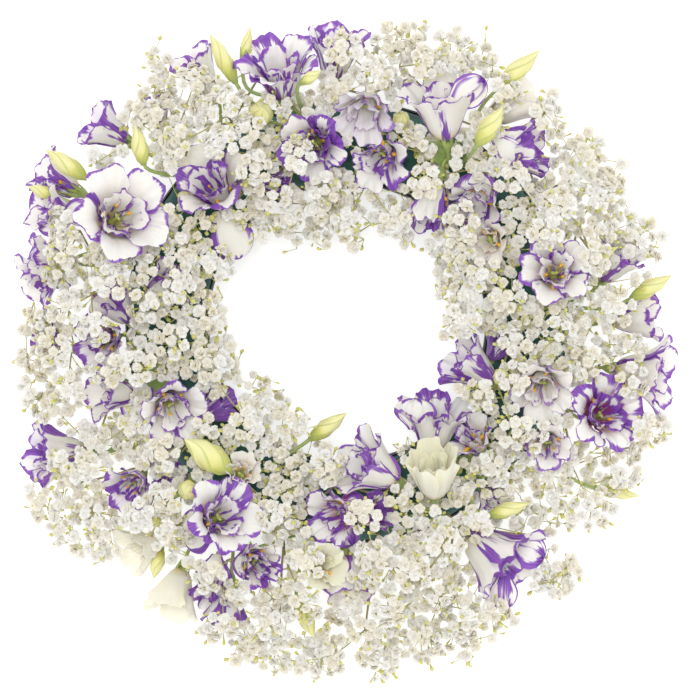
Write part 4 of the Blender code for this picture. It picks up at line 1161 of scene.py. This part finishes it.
def add_heart(ovaries, anthers, bloom, chance):
    placing = frame_of(bloom)
    reach = 0.42 * bloom.length
    middle = [[0, 0, 4], [0, 0, 7], [0, 0, 10], [0, 0, 13], [0, 0, reach]]
    tube(ovaries, moved(middle, placing), OVARY_RADII, 10)
    for side in (-1, 1):
        lobe = [[0, 0, reach - 1], [1.2 * side, 0, reach + 1.2], [2.6 * side, 0, reach + 1.6]]
        tube(ovaries, moved(lobe, placing), STIGMA_RADII, 8)
    for k in range(STAMEN_COUNT):
        turn = 2.0 * math.pi * (k + 0.3) / STAMEN_COUNT + bloom.y
        length = bloom.length * chance.uniform(0.34, 0.42)
        path = arc_path(placing, turn, math.radians(chance.uniform(18, 30)), length, 2.4, 5.0)
        tube(ovaries, path, FILAMENT_RADII, 4)
        tip = path[-1]
        along = moved([[math.cos(turn), math.sin(turn), 0.6]], placing)[0] - np.array(seat_of(bloom))
        ends = [tip + along * share for share in (-2.4, -1.2, 0.8, 2.2)]
        tube(anthers, ends, ANTHER_RADII, 6)


def grow_hearts(node, blooms):
    ovaries = Pile()
    anthers = Pile()
    for bloom in blooms:
        seed = int(bloom.x * 31 + bloom.y) % 997
        add_heart(ovaries, anthers, bloom, np.random.default_rng(seed))
    dress(ovaries.object(node + "_ovaries", OVARY), "petals", node)
    dress(anthers.object(node + "_anthers", ANTHER), "petals", node)


for node, bloom in zip(BLOOM_NODES, LARGE_BLOOMS):
    grow_hearts(node, [bloom])
for number, node in enumerate(STEM_NODES):
    blooms = carried_by(number, SMALL_BLOOMS)
    if blooms:
        grow_hearts(node, blooms)
print("hearts:", len(LARGE_BLOOMS) + len(SMALL_BLOOMS))

# %% [markdown]
# ## Buds
# A lisianthus bud is rolled up: five petals overlap in a slow spiral to a point. One closed tube
# with a saw-tooth section that turns on its way up gives the rolled edges. It is green at the foot
# and along the rolled edges, and creamy yellow between.

# %% Bud material and shape
BUD_YELLOW = (0.68, 0.67, 0.15)
BUD_CREAM = (0.82, 0.79, 0.36)
BUD_GREEN = (0.36, 0.45, 0.10)


def bud_finish():
    finish = Finish("bud", 0.4, Subsurface_Weight=0.1, Subsurface_Scale=0.003)
    rolled, along, seed = finish.parts(finish.attribute("roll", "Vector"))
    mottle = finish.noise(finish.place(), 55.0, 1.0)
    base = finish.mix(finish.step(along + mottle * 0.4, 0.35, 0.85), BUD_YELLOW, BUD_CREAM)
    foot = 1.0 - finish.step(along + mottle * 0.2, 0.12, 0.5)
    base = finish.mix(foot * 0.8, base, BUD_GREEN)
    base = finish.mix(finish.step(rolled, 0.72, 1.0) * 0.7, base, BUD_GREEN)
    finish.feed("Base Color", base)
    streaks = finish.noise(finish.vector(rolled * 12.0, along * 2.0, seed), 1.0, 2.0)
    finish.bump(streaks, 0.0005, 0.4)
    return finish.material


BUD = bud_finish()
BUD_RINGS = 17
BUD_ROLLS = 5
BUD_TWIST = 0.42
BUD_HEIGHTS = [0.0, 0.1, 0.36, 0.68, 0.9, 1.0]
BUD_WIDTHS = [0.3, 0.62, 1.0, 0.78, 0.26, 0.04]
ROLL_STEPS = np.array([0.0, 0.2, 0.4, 0.6, 0.8, 0.97])


def add_bud(pile, bud, seed):
    share = np.linspace(0.0, 1.0, BUD_RINGS)
    profile = np.interp(share, BUD_HEIGHTS, BUD_WIDTHS)
    rolled = np.tile(ROLL_STEPS, BUD_ROLLS)
    column = (np.repeat(np.arange(BUD_ROLLS), len(ROLL_STEPS)) + rolled) / BUD_ROLLS
    along, turn = np.meshgrid(share, column, indexing="ij")
    rolled = np.broadcast_to(rolled, along.shape)
    radius = bud.radius * profile[:, None] * (0.9 + 0.16 * rolled**2)
    angle = 2.0 * math.pi * (turn + along * BUD_TWIST)
    points = [radius * np.cos(angle), radius * np.sin(angle), bud.length * along]
    points = moved(np.stack(points, axis=-1).reshape(-1, 3), frame_of(bud))
    roll = np.stack([rolled, along, np.full_like(along, seed)], axis=-1).reshape(-1, 3)
    cover(points, 1)
    pile.add_tube(points.reshape(*along.shape, 3), roll=roll)


for number, node in enumerate(STEM_NODES):
    buds = carried_by(number, BUDS)
    if not buds:
        continue
    pile = Pile()
    for bud in buds:
        add_bud(pile, bud, bud.x % 17)
    dress(pile.object(node + "_buds", BUD, 35.0), "stems_and_buds", node)
    print(node, "carries", len(buds), "buds")

# %% [markdown]
# ## Reading the sprays
# Baby's breath grows by forking. The solids hold each spray's forks and heads, so we read them back
# from the mesh: a head's crown is a point with five far neighbours, its neck is the small triangle
# below it, and a fork is a knot of points that lie close together.

# %% Forks and heads of a spray
Head = namedtuple("Head", "neck axis radius root")
KNOT_REACH = 5.6
LEAST_RIM_GAP = 5.0
LEAST_RIM_REACH = 8.0
HEAD_HEIGHT_SHARE = 0.82


def neighbours_in(triangles, count):
    near = [set() for _ in range(count)]
    for a, b, c in triangles:
        near[a] |= {b, c}
        near[b] |= {a, c}
        near[c] |= {a, b}
    return near


def heads_of(points, near):
    """The heads, and the points that belong to them."""
    heads = []
    used = set()
    for crown, rim in enumerate(near):
        if len(rim) != 5:
            continue
        gaps = [np.linalg.norm(points[a] - points[b]) for a, b in itertools.combinations(rim, 2)]
        reach = [np.linalg.norm(points[a] - points[crown]) for a in rim]
        if min(gaps) < LEAST_RIM_GAP or min(reach) < LEAST_RIM_REACH:
            continue
        neck = set().union(*(near[a] for a in rim)) - rim - {crown}
        root = set().union(*(near[a] for a in neck)) - neck - rim
        foot = points[list(neck)].mean(axis=0)
        axis = points[crown] - foot
        height = np.linalg.norm(axis)
        radius = height / HEAD_HEIGHT_SHARE
        heads.append(Head(foot, axis / height, radius, points[list(root)].mean(axis=0)))
        used |= {crown} | rim | neck
    return heads, used


def forks_of(points, near, used):
    """The middle of each fork, and the pairs of forks that a twig joins."""
    waiting = set(range(len(points))) - used
    knots = []
    while waiting:
        knot = set()
        edge = [waiting.pop()]
        while edge:
            here = edge.pop()
            knot.add(here)
            for other in near[here] & waiting:
                if np.linalg.norm(points[other] - points[here]) < KNOT_REACH:
                    waiting.remove(other)
                    edge.append(other)
        knots.append(knot)
    middles = [points[list(knot)].mean(axis=0) for knot in knots]
    twigs = set()
    for i, j in itertools.combinations(range(len(knots)), 2):
        if any(near[a] & knots[j] for a in knots[i]):
            twigs.add((i, j))
    return middles, twigs


# %% [markdown]
# ## A floret
# A floret of double baby's breath is a pompom of small notched petals, 6 to 12 mm across. We build
# four of them once, from closed petals with a raised upper face, in four tiers that close towards
# the middle. Then we set turned and scaled copies of their points wherever a floret sits.

# %% Floret patterns
Tier = namedtuple("Tier", "count tilt length lift")
TIERS = [
    Tier(9, 88, 1.0, 0.0),
    Tier(8, 64, 0.94, 0.12),
    Tier(6, 40, 0.84, 0.18),
    Tier(4, 18, 0.7, 0.22),
]
FACE_RISE = 0.12
PATTERN_DROP = 0.25
PATTERN_COUNT = 4


def floret_petal(reach, width, chance):
    """A notched petal: five points round the rim and one that raises the upper face."""
    notch = chance.uniform(0.86, 1.0)
    rim = [
        (0.0, 0.0, 0.0),
        (-width, 0.66 * reach, chance.uniform(-0.1, 0.04)),
        (-0.55 * width, reach, chance.uniform(-0.26, 0.0)),
        (0.55 * width, reach * notch, chance.uniform(-0.26, 0.0)),
        (width, 0.66 * reach, chance.uniform(-0.1, 0.04)),
    ]
    return np.array(rim + [(0.0, 0.62 * reach, FACE_RISE)])


def floret_pattern(seed):
    chance = np.random.default_rng(seed)
    pile = Pile()
    for tier in TIERS:
        for k in range(tier.count):
            turn = 2.0 * math.pi * (k + chance.uniform(-0.3, 0.3)) / tier.count + tier.tilt
            lean = math.radians(tier.tilt + chance.uniform(-16, 16))
            reach = tier.length * chance.uniform(0.8, 1.1)
            flat = floret_petal(reach, 0.42 * reach * chance.uniform(0.8, 1.2), chance)
            out = np.array([math.cos(turn), math.sin(turn), 0.0])
            side = np.array([-math.sin(turn), math.cos(turn), 0.0])
            forward = out * math.sin(lean) + np.array([0.0, 0.0, math.cos(lean)])
            normal = np.cross(forward, side)
            points = flat[:, :1] * side + flat[:, 1:2] * forward + flat[:, 2:] * normal
            points[:, 2] += tier.lift - PATTERN_DROP
            top = [((i + 1) % 5, i, 5) for i in range(5)]
            under = [(0, 1, 2), (0, 2, 3), (0, 3, 4)]
            # deep is 0 at a petal's tip and 1 at its foot; the floret finish darkens it there to the
            # green heart, with painted shade between the petals.
            pile.add(points, top + under, deep=1.0 - flat[:, 1] / reach)
    return np.concatenate(pile.points), np.array(pile.faces), np.concatenate(pile.values["deep"])


FLORETS = [floret_pattern(seed) for seed in range(PATTERN_COUNT)]
print("triangles in a floret:", len(FLORETS[0][1]))

# %% [markdown]
# ## Floret and twig finishes
# The florets are a soft, warm white that turns a darker yellow-green towards the foot of each petal:
# partly the floret's green heart, partly painted shade deep between the petals. The twigs are olive
# where they are young and brown at the forks.

# %% Floret and twig materials
FLORET_WHITE = (0.90, 0.88, 0.825)
FLORET_IVORY = (0.87, 0.81, 0.66)
# A darker yellow-green: the floret's green heart, and painted shade between its petals.
FLORET_HEART_AND_SHADE = (0.56, 0.49, 0.13)
TWIG_BROWN = (0.27, 0.22, 0.09)
TWIG_TAN = (0.40, 0.34, 0.15)
TWIG_OLIVE = (0.46, 0.45, 0.10)
CLOSED_BUD = (0.66, 0.64, 0.18)


def floret_finish():
    finish = Finish("floret", 0.75, Subsurface_Weight=0.35, Subsurface_Scale=0.002)
    finish.shader.inputs["Subsurface Radius"].default_value = (1.0, 0.95, 0.8)
    deep = finish.attribute("deep")
    tint = finish.noise(finish.place(), 60.0, 1.0)
    white = finish.mix(finish.step(tint, 0.38, 0.66), FLORET_WHITE, FLORET_IVORY)
    # Towards each petal's foot the white turns darker yellow-green: the floret's green heart, with
    # painted shade between the petals.
    finish.feed("Base Color", finish.mix(finish.step(deep, 0.25, 0.9) * 0.95, white, FLORET_HEART_AND_SHADE))
    finish.bump(finish.noise(finish.place(), 900.0, 2.0), 0.0003, 0.3)
    return finish.material


def twig_finish():
    finish = Finish("twig", 0.6)
    grain = finish.noise(finish.place(), 260.0, 3.0)
    young = finish.attribute("young")
    old = finish.mix(finish.step(grain, 0.35, 0.65), TWIG_BROWN, TWIG_TAN)
    fresh = finish.mix(finish.step(young, 0.0, 1.0), old, TWIG_OLIVE)
    finish.feed("Base Color", finish.mix(finish.step(young, 1.2, 2.0), fresh, CLOSED_BUD))
    finish.bump(grain, 0.0003, 0.4)
    return finish.material


FLORET = floret_finish()
TWIG = twig_finish()

# %% [markdown]
# ## Twigs, pedicels and closed buds
# Everything on a spray hangs on hair-thin twigs. A floret's own stalk swells into a small olive cup
# below its petals. Where a floret hasn't opened yet, the stalk ends in a small yellow-green bud.

# %% Twigs and florets
FULL_TURN = 6.28
STALK_RADII = [0.36, 0.32, 0.3, 1.4, 0.9]


class Spray:
    """One spray's florets and twigs, while they are being added."""

    def __init__(self, node, seed):
        self.node = node
        self.florets = Pile()
        self.twigs = Pile()
        self.chance = np.random.default_rng(seed)

    def twig(self, start, end, leaving, thick, thin, sides=3, steps=4):
        """A thin twig that leaves in one direction and curves to its end."""
        reach = np.linalg.norm(end - start)
        knee = start + np.asarray(leaving) * reach * 0.45
        t = np.linspace(0.0, 1.0, steps)[:, None]
        path = start * (1 - t) ** 2 + knee * 2 * t * (1 - t) + end * t**2
        radii = np.linspace(thick, thin, steps)
        tube(self.twigs, path, radii, sides, young=np.clip((0.8 - radii) * 2.0, 0.0, 1.0))
        return path

    def floret(self, knot, place, axis, radius):
        """A floret with its stalk, from a knot of the spray."""
        points, faces, deep = FLORETS[self.chance.integers(len(FLORETS))]
        turn = Vector(axis).to_track_quat("Z", "Y")
        turn = turn @ Quaternion((0, 0, 1), self.chance.uniform(0, FULL_TURN))
        placing = np.array(turn.to_matrix())
        self.florets.add(points * radius @ placing.T + place, faces, deep=deep)
        cover([place], round(radius))
        cup = place - axis * radius * 0.7
        middle = (knot + cup) / 2 + axis * np.linalg.norm(cup - knot) * 0.12
        path = [knot, middle, cup, place - axis * radius * 0.35, place]
        tube(self.twigs, path, STALK_RADII, 3, young=[0.5, 0.8, 1.0, 1.2, 1.2])

    def closed_bud(self, knot, place, axis, radius):
        middle = (knot + place) / 2 + axis * np.linalg.norm(place - knot) * 0.1
        path = [knot, middle, place - axis * radius, place, place + axis * radius]
        radii = [0.3, 0.26, 0.5 * radius, radius, 0.35 * radius]
        tube(self.twigs, path, radii, 4, young=[0.5, 0.9, 1.2, 2.0, 2.2])
        cover([place], 1)

    def finish(self):
        dress(self.florets.object(self.node + "_florets", FLORET), "babys_breath", self.node)
        dress(self.twigs.object(self.node + "_twigs", TWIG), "babys_breath", self.node)


def unit(vector):
    return vector / np.linalg.norm(vector)


def side_axes(axis):
    side = np.array(Vector(axis).orthogonal().normalized())
    return side, np.cross(axis, side)


# %% [markdown]
# ## Dressing the heads
# Each solid head becomes a cluster: one floret in the middle, a ring of them round it on the dome
# that the head stood for, and closed buds among them and just beyond the rim.

# %% Clusters
FLORET_RADIUS = (3.7, 5.8)
BUDS_IN_HEAD = 6
BIG_HEAD = 11.5
HEAD_CENTRE_SHARE = 0.42


def centre_of(head):
    return head.neck + head.axis * head.radius * HEAD_CENTRE_SHARE


def dress_head(spray, head):
    chance = spray.chance
    side, other = side_axes(head.axis)
    centre = centre_of(head)
    count = 7 if head.radius > BIG_HEAD else 5
    start_turn = chance.uniform(0, FULL_TURN)
    for k in range(count):
        out = chance.uniform(0.6, 0.84) if k else 0.0
        turn = start_turn + 2.0 * math.pi * (k + chance.uniform(-0.2, 0.2)) / (count - 1)
        radial = math.cos(turn) * side + math.sin(turn) * other
        radius = chance.uniform(*FLORET_RADIUS)
        height = 0.26 * (1.0 - out * out) * head.radius + chance.uniform(-2.5, 1.5)
        axis = unit(head.axis + radial * out + chance.normal(0, 0.16, 3))
        place = centre + radial * out * head.radius + head.axis * height
        spray.floret(head.neck, place, axis, radius)
    for _ in range(BUDS_IN_HEAD):
        turn = chance.uniform(0, FULL_TURN)
        radial = math.cos(turn) * side + math.sin(turn) * other
        place = centre + radial * head.radius * chance.uniform(0.45, 1.2)
        place = place + head.axis * chance.uniform(-1.0, 5.0)
        spray.closed_bud(head.neck, place, unit(head.axis + radial), chance.uniform(0.9, 1.7))


def dress_spray(node, seed):
    points, triangles = solid_mesh(node)
    near = neighbours_in(triangles.tolist(), len(points))
    heads, used = heads_of(points, near)
    forks, joins = forks_of(points, near, used)
    spray = Spray(node, seed)
    knots = list(forks)
    for i, j in joins:
        low, high = sorted((forks[i], forks[j]), key=lambda place: place[2])
        leaving = unit(high - low) + spray.chance.normal(0, 0.1, 3)
        knots += list(spray.twig(low, high, leaving, 0.95, 0.75, 5, 5))[1:-1]
    for head in heads:
        root = min(forks, key=lambda place: np.linalg.norm(place - head.root))
        leaving = unit(head.neck - root) + spray.chance.normal(0, 0.12, 3)
        path = spray.twig(root, head.neck + head.axis * 0.3, leaving, 0.6, 0.38, 4, 5)
        knots += list(path)[1:]
        dress_head(spray, head)
    return spray, heads, knots


SPRAY_NODES = sorted(node for node in frame["nodes"] if node.startswith("babys_breath"))
sprays = []
heads = []
knots = []
knot_spray = []
for number, node in enumerate(SPRAY_NODES):
    spray, its_heads, its_knots = dress_spray(node, 40 + number)
    sprays.append(spray)
    heads += its_heads
    knots += its_knots
    knot_spray += [spray] * len(its_knots)
print("heads dressed:", len(heads))

# %% [markdown]
# ## Filling the bare places
# The florist pushes sprigs into every gap until hardly any foam shows. We throw florets at random
# places, keep one only where little is covered yet and no petal is in the way, and hang it on the
# nearest twig that it can be reached from. The discs, each an x, a y and a radius in millimetres,
# steer this: some gaps over the foam stay open, the bare discs lie beyond the wreath's outline, and
# in the fringes the sprigs reach further out than elsewhere.

# %% Side sprigs
OPEN_GAPS = [
    (-123, 109, 12),
    (-62, 124, 9),
    (-40, 122, 9),
    (44, 120, 8),
    (104, 46, 8),
    (116, 4, 9),
    (101, -27, 7),
    (-152, 45, 7),
    (-132, 58, 7),
    (-134, 6, 12),
    (-138, -48, 7),
    (-115, -74, 7),
    (30, -115, 12),
    (82, -112, 8),
]
BARE_DISCS = [
    (73, 25, 16),
    (26, 78, 12),
    (-80, 52, 13),
    (9, -212, 15),
    (-8, -214, 12),
    (-78, -196, 13),
    (203, -66, 15),
    (172, -116, 11),
    (141, -148, 12),
    (148, 164, 9),
    (189, 116, 9),
    (205, 74, 10),
]
FRINGES = [
    (32, 208, 12),
    (50, 212, 12),
    (70, 208, 13),
    (88, 198, 12),
    (99, 186, 10),
    (143, -112, 9),
    (140, -126, 8),
    (-46, -210, 11),
    (-28, -212, 10),
    (-62, -24, 9),
    (-50, -38, 10),
    (-36, -48, 9),
    (-212, -92, 10),
    (-204, -106, 12),
    (-192, -120, 12),
    (-180, -130, 10),
    (-216, -22, 8),
    (-214, -38, 9),
    (-128, 198, 8),
    (-120, 186, 9),
    (-165, 128, 14),
    (-150, 136, 10),
    (121, -113, 13),
    (158, -70, 9),
    (197, 50, 10),
]
FOAM_REACH = (94.0, 165.0)
HEAD_REACH = 17.0
DENSE_REACH = (96.0, 156.0)
DENSE_LIMIT = 0.82
SPARSE_LIMIT = 0.6
FILL_TRIES = 14000
FILL_RADIUS = (3.0, 5.4)
FILL_CELLS = 4
LONGEST_TWIG = 34.0
KNOTS_TRIED = 6
LEVEL_AT_MIDDLE = 52.0
FALL_FROM_MIDDLE = 0.3
HEAD_PLACES = np.array([centre_of(head) for head in heads])
OTHER_SOLIDS = surface_tree([node for node in frame["nodes"] if node not in SPRAY_NODES])


def within(discs, x, y):
    return any(math.hypot(x - cx, y - cy) < radius for cx, cy, radius in discs)


def from_centre(x, y):
    return math.hypot(x - RING_CENTRE.x, y - RING_CENTRE.y)


def from_heads(x, y):
    return np.hypot(*(HEAD_PLACES[:, :2] - [x, y]).T)


def may_be_filled(x, y):
    if within(OPEN_GAPS + BARE_DISCS, x, y):
        return False
    if FOAM_REACH[0] < from_centre(x, y) < FOAM_REACH[1]:
        return True
    return from_heads(x, y).min() < HEAD_REACH or within(FRINGES, x, y)


def free_place(x, y, radius, chance):
    """A place for a floret above this point that is clear of petals, or None."""
    level = HEAD_PLACES[np.argsort(from_heads(x, y))[:3], 2].mean()
    lowest = LEVEL_AT_MIDDLE - FALL_FROM_MIDDLE * abs(from_centre(x, y) - RING_MIDDLE_RADIUS)
    for share in np.sort(chance.uniform(0.5, 0.98, 4))[::-1]:
        place = np.array([x, y, max(level * share, lowest)])
        if OTHER_SOLIDS.find_nearest(Vector(place))[3] > radius * 0.8 + 1.0:
            return place
    return None


def reachable_knot(place):
    """The nearest knot with nothing but air on the way."""
    every = np.array(knots)
    above = np.clip(every[:, 2] - place[2] + 4.0, 0.0, None)
    cost = np.linalg.norm(every - place, axis=1) + 1.5 * above
    for i in np.argsort(cost)[:KNOTS_TRIED]:
        way = Vector(place - every[i])
        blocked = OTHER_SOLIDS.ray_cast(Vector(every[i]), way.normalized(), way.length)[0]
        if blocked is None and way.length < LONGEST_TWIG:
            return i
    return None


def fill_bare_places(tries):
    chance = np.random.default_rng(7)
    added = 0
    for x, y in zip(chance.uniform(-226, 230, tries), chance.uniform(-226, 228, tries)):
        radius = chance.uniform(*FILL_RADIUS)
        dense = DENSE_REACH[0] < from_centre(x, y) < DENSE_REACH[1]
        limit = DENSE_LIMIT if dense else SPARSE_LIMIT
        if covered_share((x, y), FILL_CELLS) > limit or not may_be_filled(x, y):
            continue
        place = free_place(x, y, radius, chance)
        i = None if place is None else reachable_knot(place)
        if i is None:
            continue
        outward = unit(np.array([x - RING_CENTRE.x, y - RING_CENTRE.y, 0.0]))
        axis = unit(np.array([0.0, 0.0, 0.9]) + outward * 0.25 + chance.normal(0, 0.3, 3))
        spray = knot_spray[i]
        leaving = unit(place - knots[i]) + np.array([0.0, 0.0, 0.4])
        knot = place - axis * (radius + chance.uniform(3.0, 6.0))
        path = spray.twig(knots[i], knot, leaving, 0.42, 0.3)
        spray.floret(knot, place, axis, radius)
        for _ in range(chance.integers(1, 3)):
            aside = unit(axis + chance.normal(0, 0.9, 3))
            place = knot + aside * chance.uniform(6, 10)
            spray.closed_bud(knot, place, aside, chance.uniform(1.0, 2.0))
        knots.extend([path[1], path[2], knot])
        knot_spray.extend([spray] * 3)
        added += 1
    return added


print("florets added in bare places:", fill_bare_places(FILL_TRIES))
for spray in sprays:
    spray.finish()

# %% [markdown]
# ## The foam ring
# Floral foam is a dark green, crumbling open-cell block. We turn its half-round section about the
# ring's centre and push the points in and out by a little noise, so that its edge isn't perfect.
# The cells are too small to model and come from the material.

# %% Foam
RING_SEGMENTS = 144
FOAM_FOOT = 2.4
FOAM_ROUND = 26.4
FOAM_ROUGHNESS = 0.22
FOAM_DARK = (0.012, 0.055, 0.048)
FOAM_GREEN = (0.03, 0.115, 0.095)
FOAM_CELLS = (0.08, 0.2, 0.17)


def turned_ring(profile, segments):
    """A ring with a closed section, given as radius and height."""
    profile = np.array(profile)
    turns = 2.0 * math.pi * np.arange(segments) / segments
    out = np.stack([np.cos(turns), np.sin(turns)], axis=-1)
    level = out[:, None, :] * profile[None, :, :1]
    height = np.broadcast_to(profile[None, :, 1:], (segments, len(profile), 1))
    points = np.concatenate([level, height], axis=-1).reshape(-1, 3) + np.array(RING_CENTRE)
    index = np.arange(segments * len(profile)).reshape(segments, -1)
    across = np.roll(index, -1, axis=1)
    ahead = np.roll(index, -1, axis=0)
    faces = np.stack([index, ahead, np.roll(ahead, -1, axis=1), across], axis=-1)
    return points, faces.reshape(-1, 4)


def foam_profile():
    inner = RING_MIDDLE_RADIUS - FOAM_HALF_WIDTH
    outer = RING_MIDDLE_RADIUS + FOAM_HALF_WIDTH
    profile = [(inner + 1.0, FOAM_FOOT), (outer - 1.0, FOAM_FOOT)]
    for lean in np.radians(np.linspace(90.0, -90.0, 22)):
        radius = RING_MIDDLE_RADIUS + FOAM_ROUND * math.sin(lean)
        profile.append((radius, FOAM_SHOULDER_HEIGHT + FOAM_ROUND * math.cos(lean)))
    return profile


def foam_finish():
    finish = Finish("wet_floral_foam", 0.92)
    place = finish.place()
    cells = finish.noise(place, 1400.0, 4.0)
    patches = finish.noise(place, 70.0, 3.0)
    colour = finish.mix(finish.step(patches, 0.3, 0.7), FOAM_DARK, FOAM_GREEN)
    colour = finish.mix(finish.step(cells, 0.55, 0.8) * 0.4, colour, FOAM_CELLS)
    finish.feed("Base Color", colour)
    finish.bump(cells + patches * 0.6, 0.0015, 0.8)
    return finish.material


points, faces = turned_ring(foam_profile(), RING_SEGMENTS)
noise = np.random.default_rng(5).normal(0.0, FOAM_ROUGHNESS, points.shape)
noise[points[:, 2] < 3.0] = 0.0
pile = Pile()
pile.add(points + noise, faces)
dress(pile.object("foam_ring", foam_finish(), 80.0), "floral_foam", "floral_foam")
print("foam ring:", len(faces), "faces")

# %% [markdown]
# ## The tray
# The tray is thin moulded plastic with a rounded lip. Only its edge shows, but the piece is whole,
# because the wreath can be looked at from below its rim.

# %% Tray
TRAY_HALF_WIDTH = 28.95
TRAY_WALL = [(0.6, 0.0), (0.0, 0.6), (0.0, 13.4), (0.4, 13.9), (1.2, 13.9), (1.55, 13.4), (1.6, 2.4)]
TRAY_FLOOR = (2.0, 2.0)
TRAY_DARK = (0.05, 0.06, 0.055)
TRAY_SCUFFED = (0.09, 0.10, 0.09)


def tray_profile():
    """The outer wall from its foot to the floor inside, and its mirror image back again."""
    inner = RING_MIDDLE_RADIUS - TRAY_HALF_WIDTH
    outer = RING_MIDDLE_RADIUS + TRAY_HALF_WIDTH
    wall = TRAY_WALL + [TRAY_FLOOR]
    section = [(outer - inset, height) for inset, height in wall]
    section += [(inner + inset, height) for inset, height in wall[::-1]]
    return section[-1:] + section[:-1]


def tray_finish():
    finish = Finish("tray_plastic", 0.4)
    place = finish.place()
    scuffs = finish.noise(place, 45.0, 4.0)
    finish.feed("Base Color", finish.mix(finish.step(scuffs, 0.4, 0.7), TRAY_DARK, TRAY_SCUFFED))
    finish.feed("Roughness", 0.32 + scuffs * 0.25)
    finish.bump(finish.noise(place, 1200.0, 2.0), 0.0002, 0.3)
    return finish.material


points, faces = turned_ring(tray_profile(), RING_SEGMENTS)
pile = Pile()
pile.add(points, faces)
dress(pile.object("tray", tray_finish(), 40.0), "tray_plastic", "ring_tray")
print("tray:", len(faces), "faces")

# %% [markdown]
# ## Studio
# The photograph looks straight down on the wreath through a long lens, against pure white, with
# soft light from all sides. We use a bright even world and a pale floor that glows a little, as a
# light table does. A soft lamp near the camera reaches into the cups of the blooms, and a weak one
# from the side gives the petals their shape. A display gamma of 1.1 lifts the middle tones.

# %% Floor, lights and camera
PHOTO_SIZE = 700
PHOTO_PIXEL = 0.68
ORIGIN_PIXEL = (347, 351)
FOCUS_HEIGHT = 75.0
CAMERA_DISTANCE = 3000.0
SENSOR_WIDTH = 36.0
FLOOR_REACH = 4.0
FLOOR_DROP = 0.0004
FLOOR_GLOW = 0.5
WORLD_STRENGTH = 0.8
DISPLAY_GAMMA = 1.1


def make_floor():
    mesh = bpy.data.meshes.new("floor")
    signs = [(-1, -1), (1, -1), (1, 1), (-1, 1)]
    corners = [(x * FLOOR_REACH, y * FLOOR_REACH, 0) for x, y in signs]
    mesh.from_pydata(corners, [], [(0, 1, 2, 3)])
    finish = Finish("pale_floor", 0.9, Base_Color=(0.94, 0.94, 0.94, 1.0))
    finish.shader.inputs["Emission Color"].default_value = (1.0, 1.0, 1.0, 1.0)
    finish.shader.inputs["Emission Strength"].default_value = FLOOR_GLOW
    mesh.materials.append(finish.material)
    floor = bpy.data.objects.new("floor", mesh)
    floor.location.z = -FLOOR_DROP
    bpy.context.scene.collection.objects.link(floor)
    floor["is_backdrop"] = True


def soft_lamp(name, place, size, watts):
    lamp = bpy.data.lights.new(name, "AREA")
    lamp.size = size
    lamp.energy = watts
    obj = bpy.data.objects.new(name, lamp)
    obj.location = place
    obj.rotation_euler = (-Vector(place)).to_track_quat("-Z", "Y").to_euler()
    bpy.context.scene.collection.objects.link(obj)


def make_world(strength):
    world = bpy.data.worlds.new("studio")
    world.use_nodes = True
    background = world.node_tree.nodes["Background"]
    background.inputs["Color"].default_value = (1.0, 1.0, 1.0, 1.0)
    background.inputs["Strength"].default_value = strength
    bpy.context.scene.world = world


def make_camera():
    camera = bpy.data.cameras.new("camera")
    camera.sensor_width = SENSOR_WIDTH
    camera.lens = SENSOR_WIDTH * CAMERA_DISTANCE / (PHOTO_SIZE * PHOTO_PIXEL)
    camera.clip_end = 20.0
    obj = bpy.data.objects.new("camera", camera)
    middle_x = (PHOTO_SIZE / 2 - ORIGIN_PIXEL[0]) * PHOTO_PIXEL
    middle_y = (ORIGIN_PIXEL[1] - PHOTO_SIZE / 2) * PHOTO_PIXEL
    obj.location = Vector((middle_x, middle_y, FOCUS_HEIGHT + CAMERA_DISTANCE)) * MM
    bpy.context.scene.collection.objects.link(obj)
    bpy.context.scene.camera = obj


make_floor()
make_world(WORLD_STRENGTH)
soft_lamp("overhead", (-0.15, 0.25, 2.6), 0.8, 27.0)
soft_lamp("side", (1.4, -0.6, 1.2), 1.0, 2.0)
make_camera()
bpy.context.scene.view_settings.view_transform = "Standard"
bpy.context.scene.view_settings.gamma = DISPLAY_GAMMA
print("camera looks from", CAMERA_DISTANCE + FOCUS_HEIGHT, "mm up")

# %% [markdown]
# ## The sizes
# The finished wreath can outgrow the solids a little, such as at the frill of a petal. We print both
# boxes.

# %% Sizes and finish
boxes = {"solids": solid_box, "visual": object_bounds()}
{name: [list(corner) for corner in box] for name, box in boxes.items()}
faces_total = 0
for obj in bpy.data.objects:
    if obj.type == "MESH" and not obj.hide_render:
        obj.data.calc_loop_triangles()
        faces_total += len(obj.data.loop_triangles)
print("triangles shown:", faces_total)
for name, (low, high) in boxes.items():
    print(name, [round(v, 4) for v in low], [round(v, 4) for v in high])
